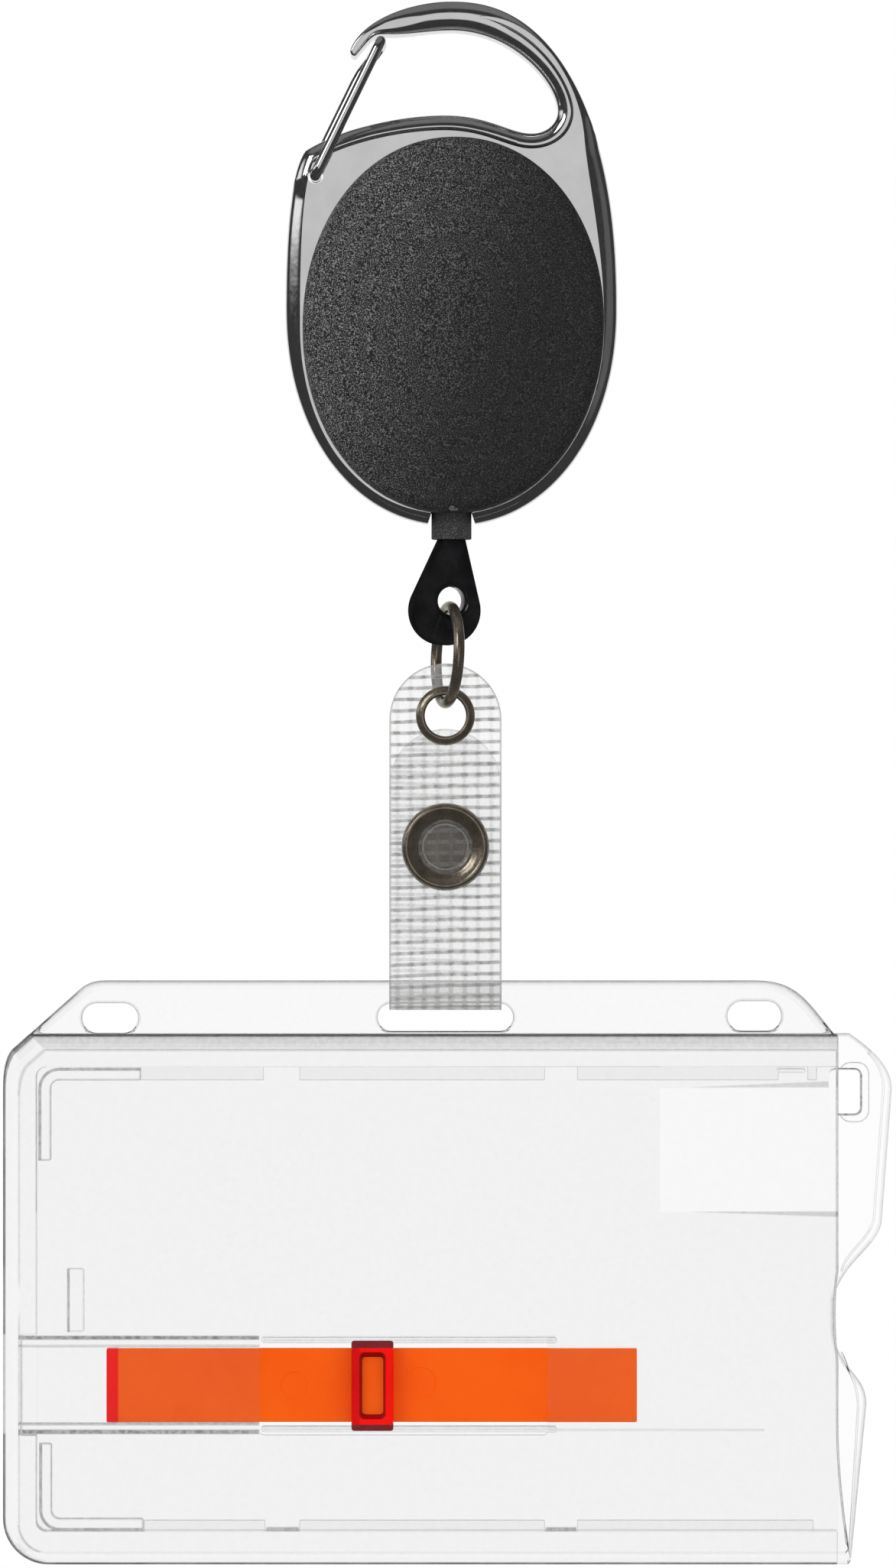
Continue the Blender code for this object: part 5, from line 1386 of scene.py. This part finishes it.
thumb = {"recess": (-10.82, -7.72, -163.24, -155.35), "floor": (-10.5, -8.02, -162.7, -155.97),
         "sunk": -2.5, "top": -3.4, "cap": 0.8, "corner": 0.35,
         "steps": ((-1.9, 0.05, 0.05), (-2.0, 0, 0), (-2.55, 0, 0), (-3.2, 0.04, 0.58), (-3.36, 0.1, 0.68),
                   (-3.4, 0.22, 0.8))}


def thumbPiece():
    left, right = slide["thumb"], slide["thumb"] + slide["thumbWidth"]
    low, high = slideMiddle - slide["thumbHalf"], slideMiddle + slide["thumbHalf"]
    loops = []
    for depth, across, along in thumb["steps"]:
        run = boxRun(left + across, right - across, low + along, high - along, thumb["corner"])
        loops.append(atDepth(run, depth))
    piece = rings("thumbFrame", loops)
    mouth, floor = boxRun(*thumb["recess"], 0.7), boxRun(*thumb["floor"], 0.4)
    recess = rings("thumbRecess", [atDepth(mouth, -4.0), atDepth(mouth, thumb["top"] + 0.05),
                                   atDepth(floor, thumb["sunk"])])
    neck = flatBox("thumbNeck", left + 0.3, right - 0.3, slide["low"] + 0.3, slide["high"] - 0.3, -2.3,
                   slide["front"] + 0.1, 0.1)
    merge(piece, [neck], "UNION")
    merge(piece, [recess], "DIFFERENCE")
    a, b, c, d = thumb["recess"]
    bottom, top = low + thumb["cap"], high - thumb["cap"]
    bm = openMesh(piece)
    for axis, place in (("X", a), ("X", b), ("Z", c), ("Z", d), ("Z", bottom), ("Z", top)):
        sliceAt(bm, axis, place)
    closeMesh(bm, piece)
    finishPiece(piece, [redTint, shadedRed, shadedCapRed, orangeTint, shadedWallRed], "ejector")

    def frameRed(centre, normal):
        # painted shade: the rounded top and bottom are painted darkest red, the recess walls dark red and
        # the strip on the left the shaded red; the recess floor is orange
        x, y, z = centre
        inside = a < x < b and c < z < d
        if inside and y > thumb["sunk"] - 0.02:
            return 3
        if inside and y > thumb["top"] + 0.01:
            return 4
        if z > top or z < bottom:
            return 2
        return int(x < a + 0.4)

    paint(piece, frameRed)
    return piece


holderTray()
holderFace()
slidePiece()
thumbPiece()
print("card holder made")


# Inner pieces: the spring is wound finer, the others keep their frame shapes

spring = {"axle": 2.0, "inner": 2.6, "outer": 6.8, "turns": 5, "strip": 0.25}


def springPiece():
    # its outer end stops inside the spool's cup, which turns round it
    path = [(-spring["axle"] * 0.7, 0), (0, 0), (spring["axle"], 0)]
    steps = spring["turns"] * 48
    for i in range(4, steps + 1):
        a, r = 2 * math.pi * i / 48, spring["inner"] + (spring["outer"] - spring["inner"]) * i / steps
        path.append((r * math.cos(a), r * math.sin(a)))
    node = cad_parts["power_spring"]
    depths = [(node.matrix_world @ v.co).y / mm for v in node.data.vertices]
    loop = [(x, z + reel["centre"][1]) for x, z in strokeRun(path, spring["strip"])]
    piece = slab("powerSpring", loop, min(depths), max(depths))
    return finishPiece(piece, springSteel, "reel", ["power_spring"])


springPiece()
innerFinishes = {"axle_post": springSteel, "spool": whiteNylon, "spring_cover": whiteNylon,
                 "cord_inner_layers": braidedCord, "cord_winding": braidedCord, "cord_lead": braidedCord,
                 "cord_knot": braidedCord}
for name, material in innerFinishes.items():
    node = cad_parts[name]
    if not node.material_slots:
        node.data.materials.append(material)
    for place in node.material_slots:
        place.material = material
print("inner pieces finished")


# Camera, light and floor

view = {"lens": 200, "place": (-0.000405, -1.0267, -0.0886)}
camera = bpy.data.objects.new("camera", bpy.data.cameras.new("camera"))
camera.data.lens = view["lens"]
camera.data.sensor_fit = "VERTICAL"
camera.data.sensor_height = 36
camera.location = view["place"]
camera.rotation_euler = (math.pi / 2, 0, 0)
bpy.context.scene.collection.objects.link(camera)
bpy.context.scene.camera = camera
bpy.context.scene.view_settings.view_transform = "Standard"

lamps = {"keyLamp": ((-0.7, -0.8, 0.45), 0.5, 2.6), "fillLamp": ((0.8, -0.7, 0.1), 0.6, 0.9)}
for name, (place, size, power) in lamps.items():
    lamp = bpy.data.objects.new(name, bpy.data.lights.new(name, "AREA"))
    lamp.data.size = size
    lamp.data.energy = power
    lamp.location = place
    lamp.rotation_euler = (Vector((0, 0, -0.09)) - Vector(place)).to_track_quat("-Z", "Y").to_euler()
    lamp.visible_glossy = name == "keyLamp"
    bpy.context.scene.collection.objects.link(lamp)


# axis, where each soft panel starts and is full, its strength, and the heights that it starts above
studio = {"panels": (("Y", -0.93, -0.985, 0.6, None), ("Y", 0.72, 0.92, 0.8, None),
                     ("Z", 0.6, 0.9, 0.16, None), ("X", -0.85, -0.95, 0.9, (0.05, 0.16)),
                     ("X", 0.88, 0.97, 0.1, None)),
          "dim": 0.035, "ambient": 0.8, "through": (0.1, 0.85, 0.62, 1.0)}


def softWorld():
    # white to the camera, with soft panels that the metal shows
    world = bpy.data.worlds.new("softStudio")
    world.use_nodes = True
    tree = world.node_tree
    bpy.context.scene.world = world
    path = addNode(tree, "ShaderNodeLightPath").outputs
    place = splitPlace(tree, addNode(tree, "ShaderNodeTexCoord").outputs["Generated"])
    seen = studio["dim"]
    for axis, start, full, strength, above in studio["panels"]:
        glow = rampValue(tree, place[axis], start, full, 0.0, strength)
        if above:
            glow = calc(tree, "MULTIPLY", glow, rampValue(tree, place["Z"], *above))
        seen = calc(tree, "MAXIMUM", glow, seen)
    through = rampValue(tree, calc(tree, "ABSOLUTE", place["Y"]), *studio["through"])
    level = studio["ambient"]
    for mask, value in (("Is Glossy Ray", seen), ("Is Transmission Ray", through), ("Is Camera Ray", 1.0)):
        inputs = {0: path[mask], 2: level, 3: value}
        level = addNode(tree, "ShaderNodeMix", inputs, data_type="FLOAT").outputs[0]
    feed(tree, tree.nodes["Background"].inputs["Color"], level)


floorDisc = {"radius": 0.8, "height": -1.1, "colour": (0.86, 0.86, 0.86), "roughness": 0.8}


def paleFloor():
    bm = bmesh.new()
    bmesh.ops.create_circle(bm, cap_ends=True, segments=64, radius=floorDisc["radius"])
    bmesh.ops.translate(bm, vec=(0, 0, floorDisc["height"]), verts=bm.verts)
    floor = newObject("floor", bm)
    floor.data.materials.append(newMaterial("paleFloor", floorDisc["colour"], floorDisc["roughness"])[0])
    floor.visible_glossy = False
    floor.visible_transmission = False


softWorld()
paleFloor()
print("camera, light and floor made")
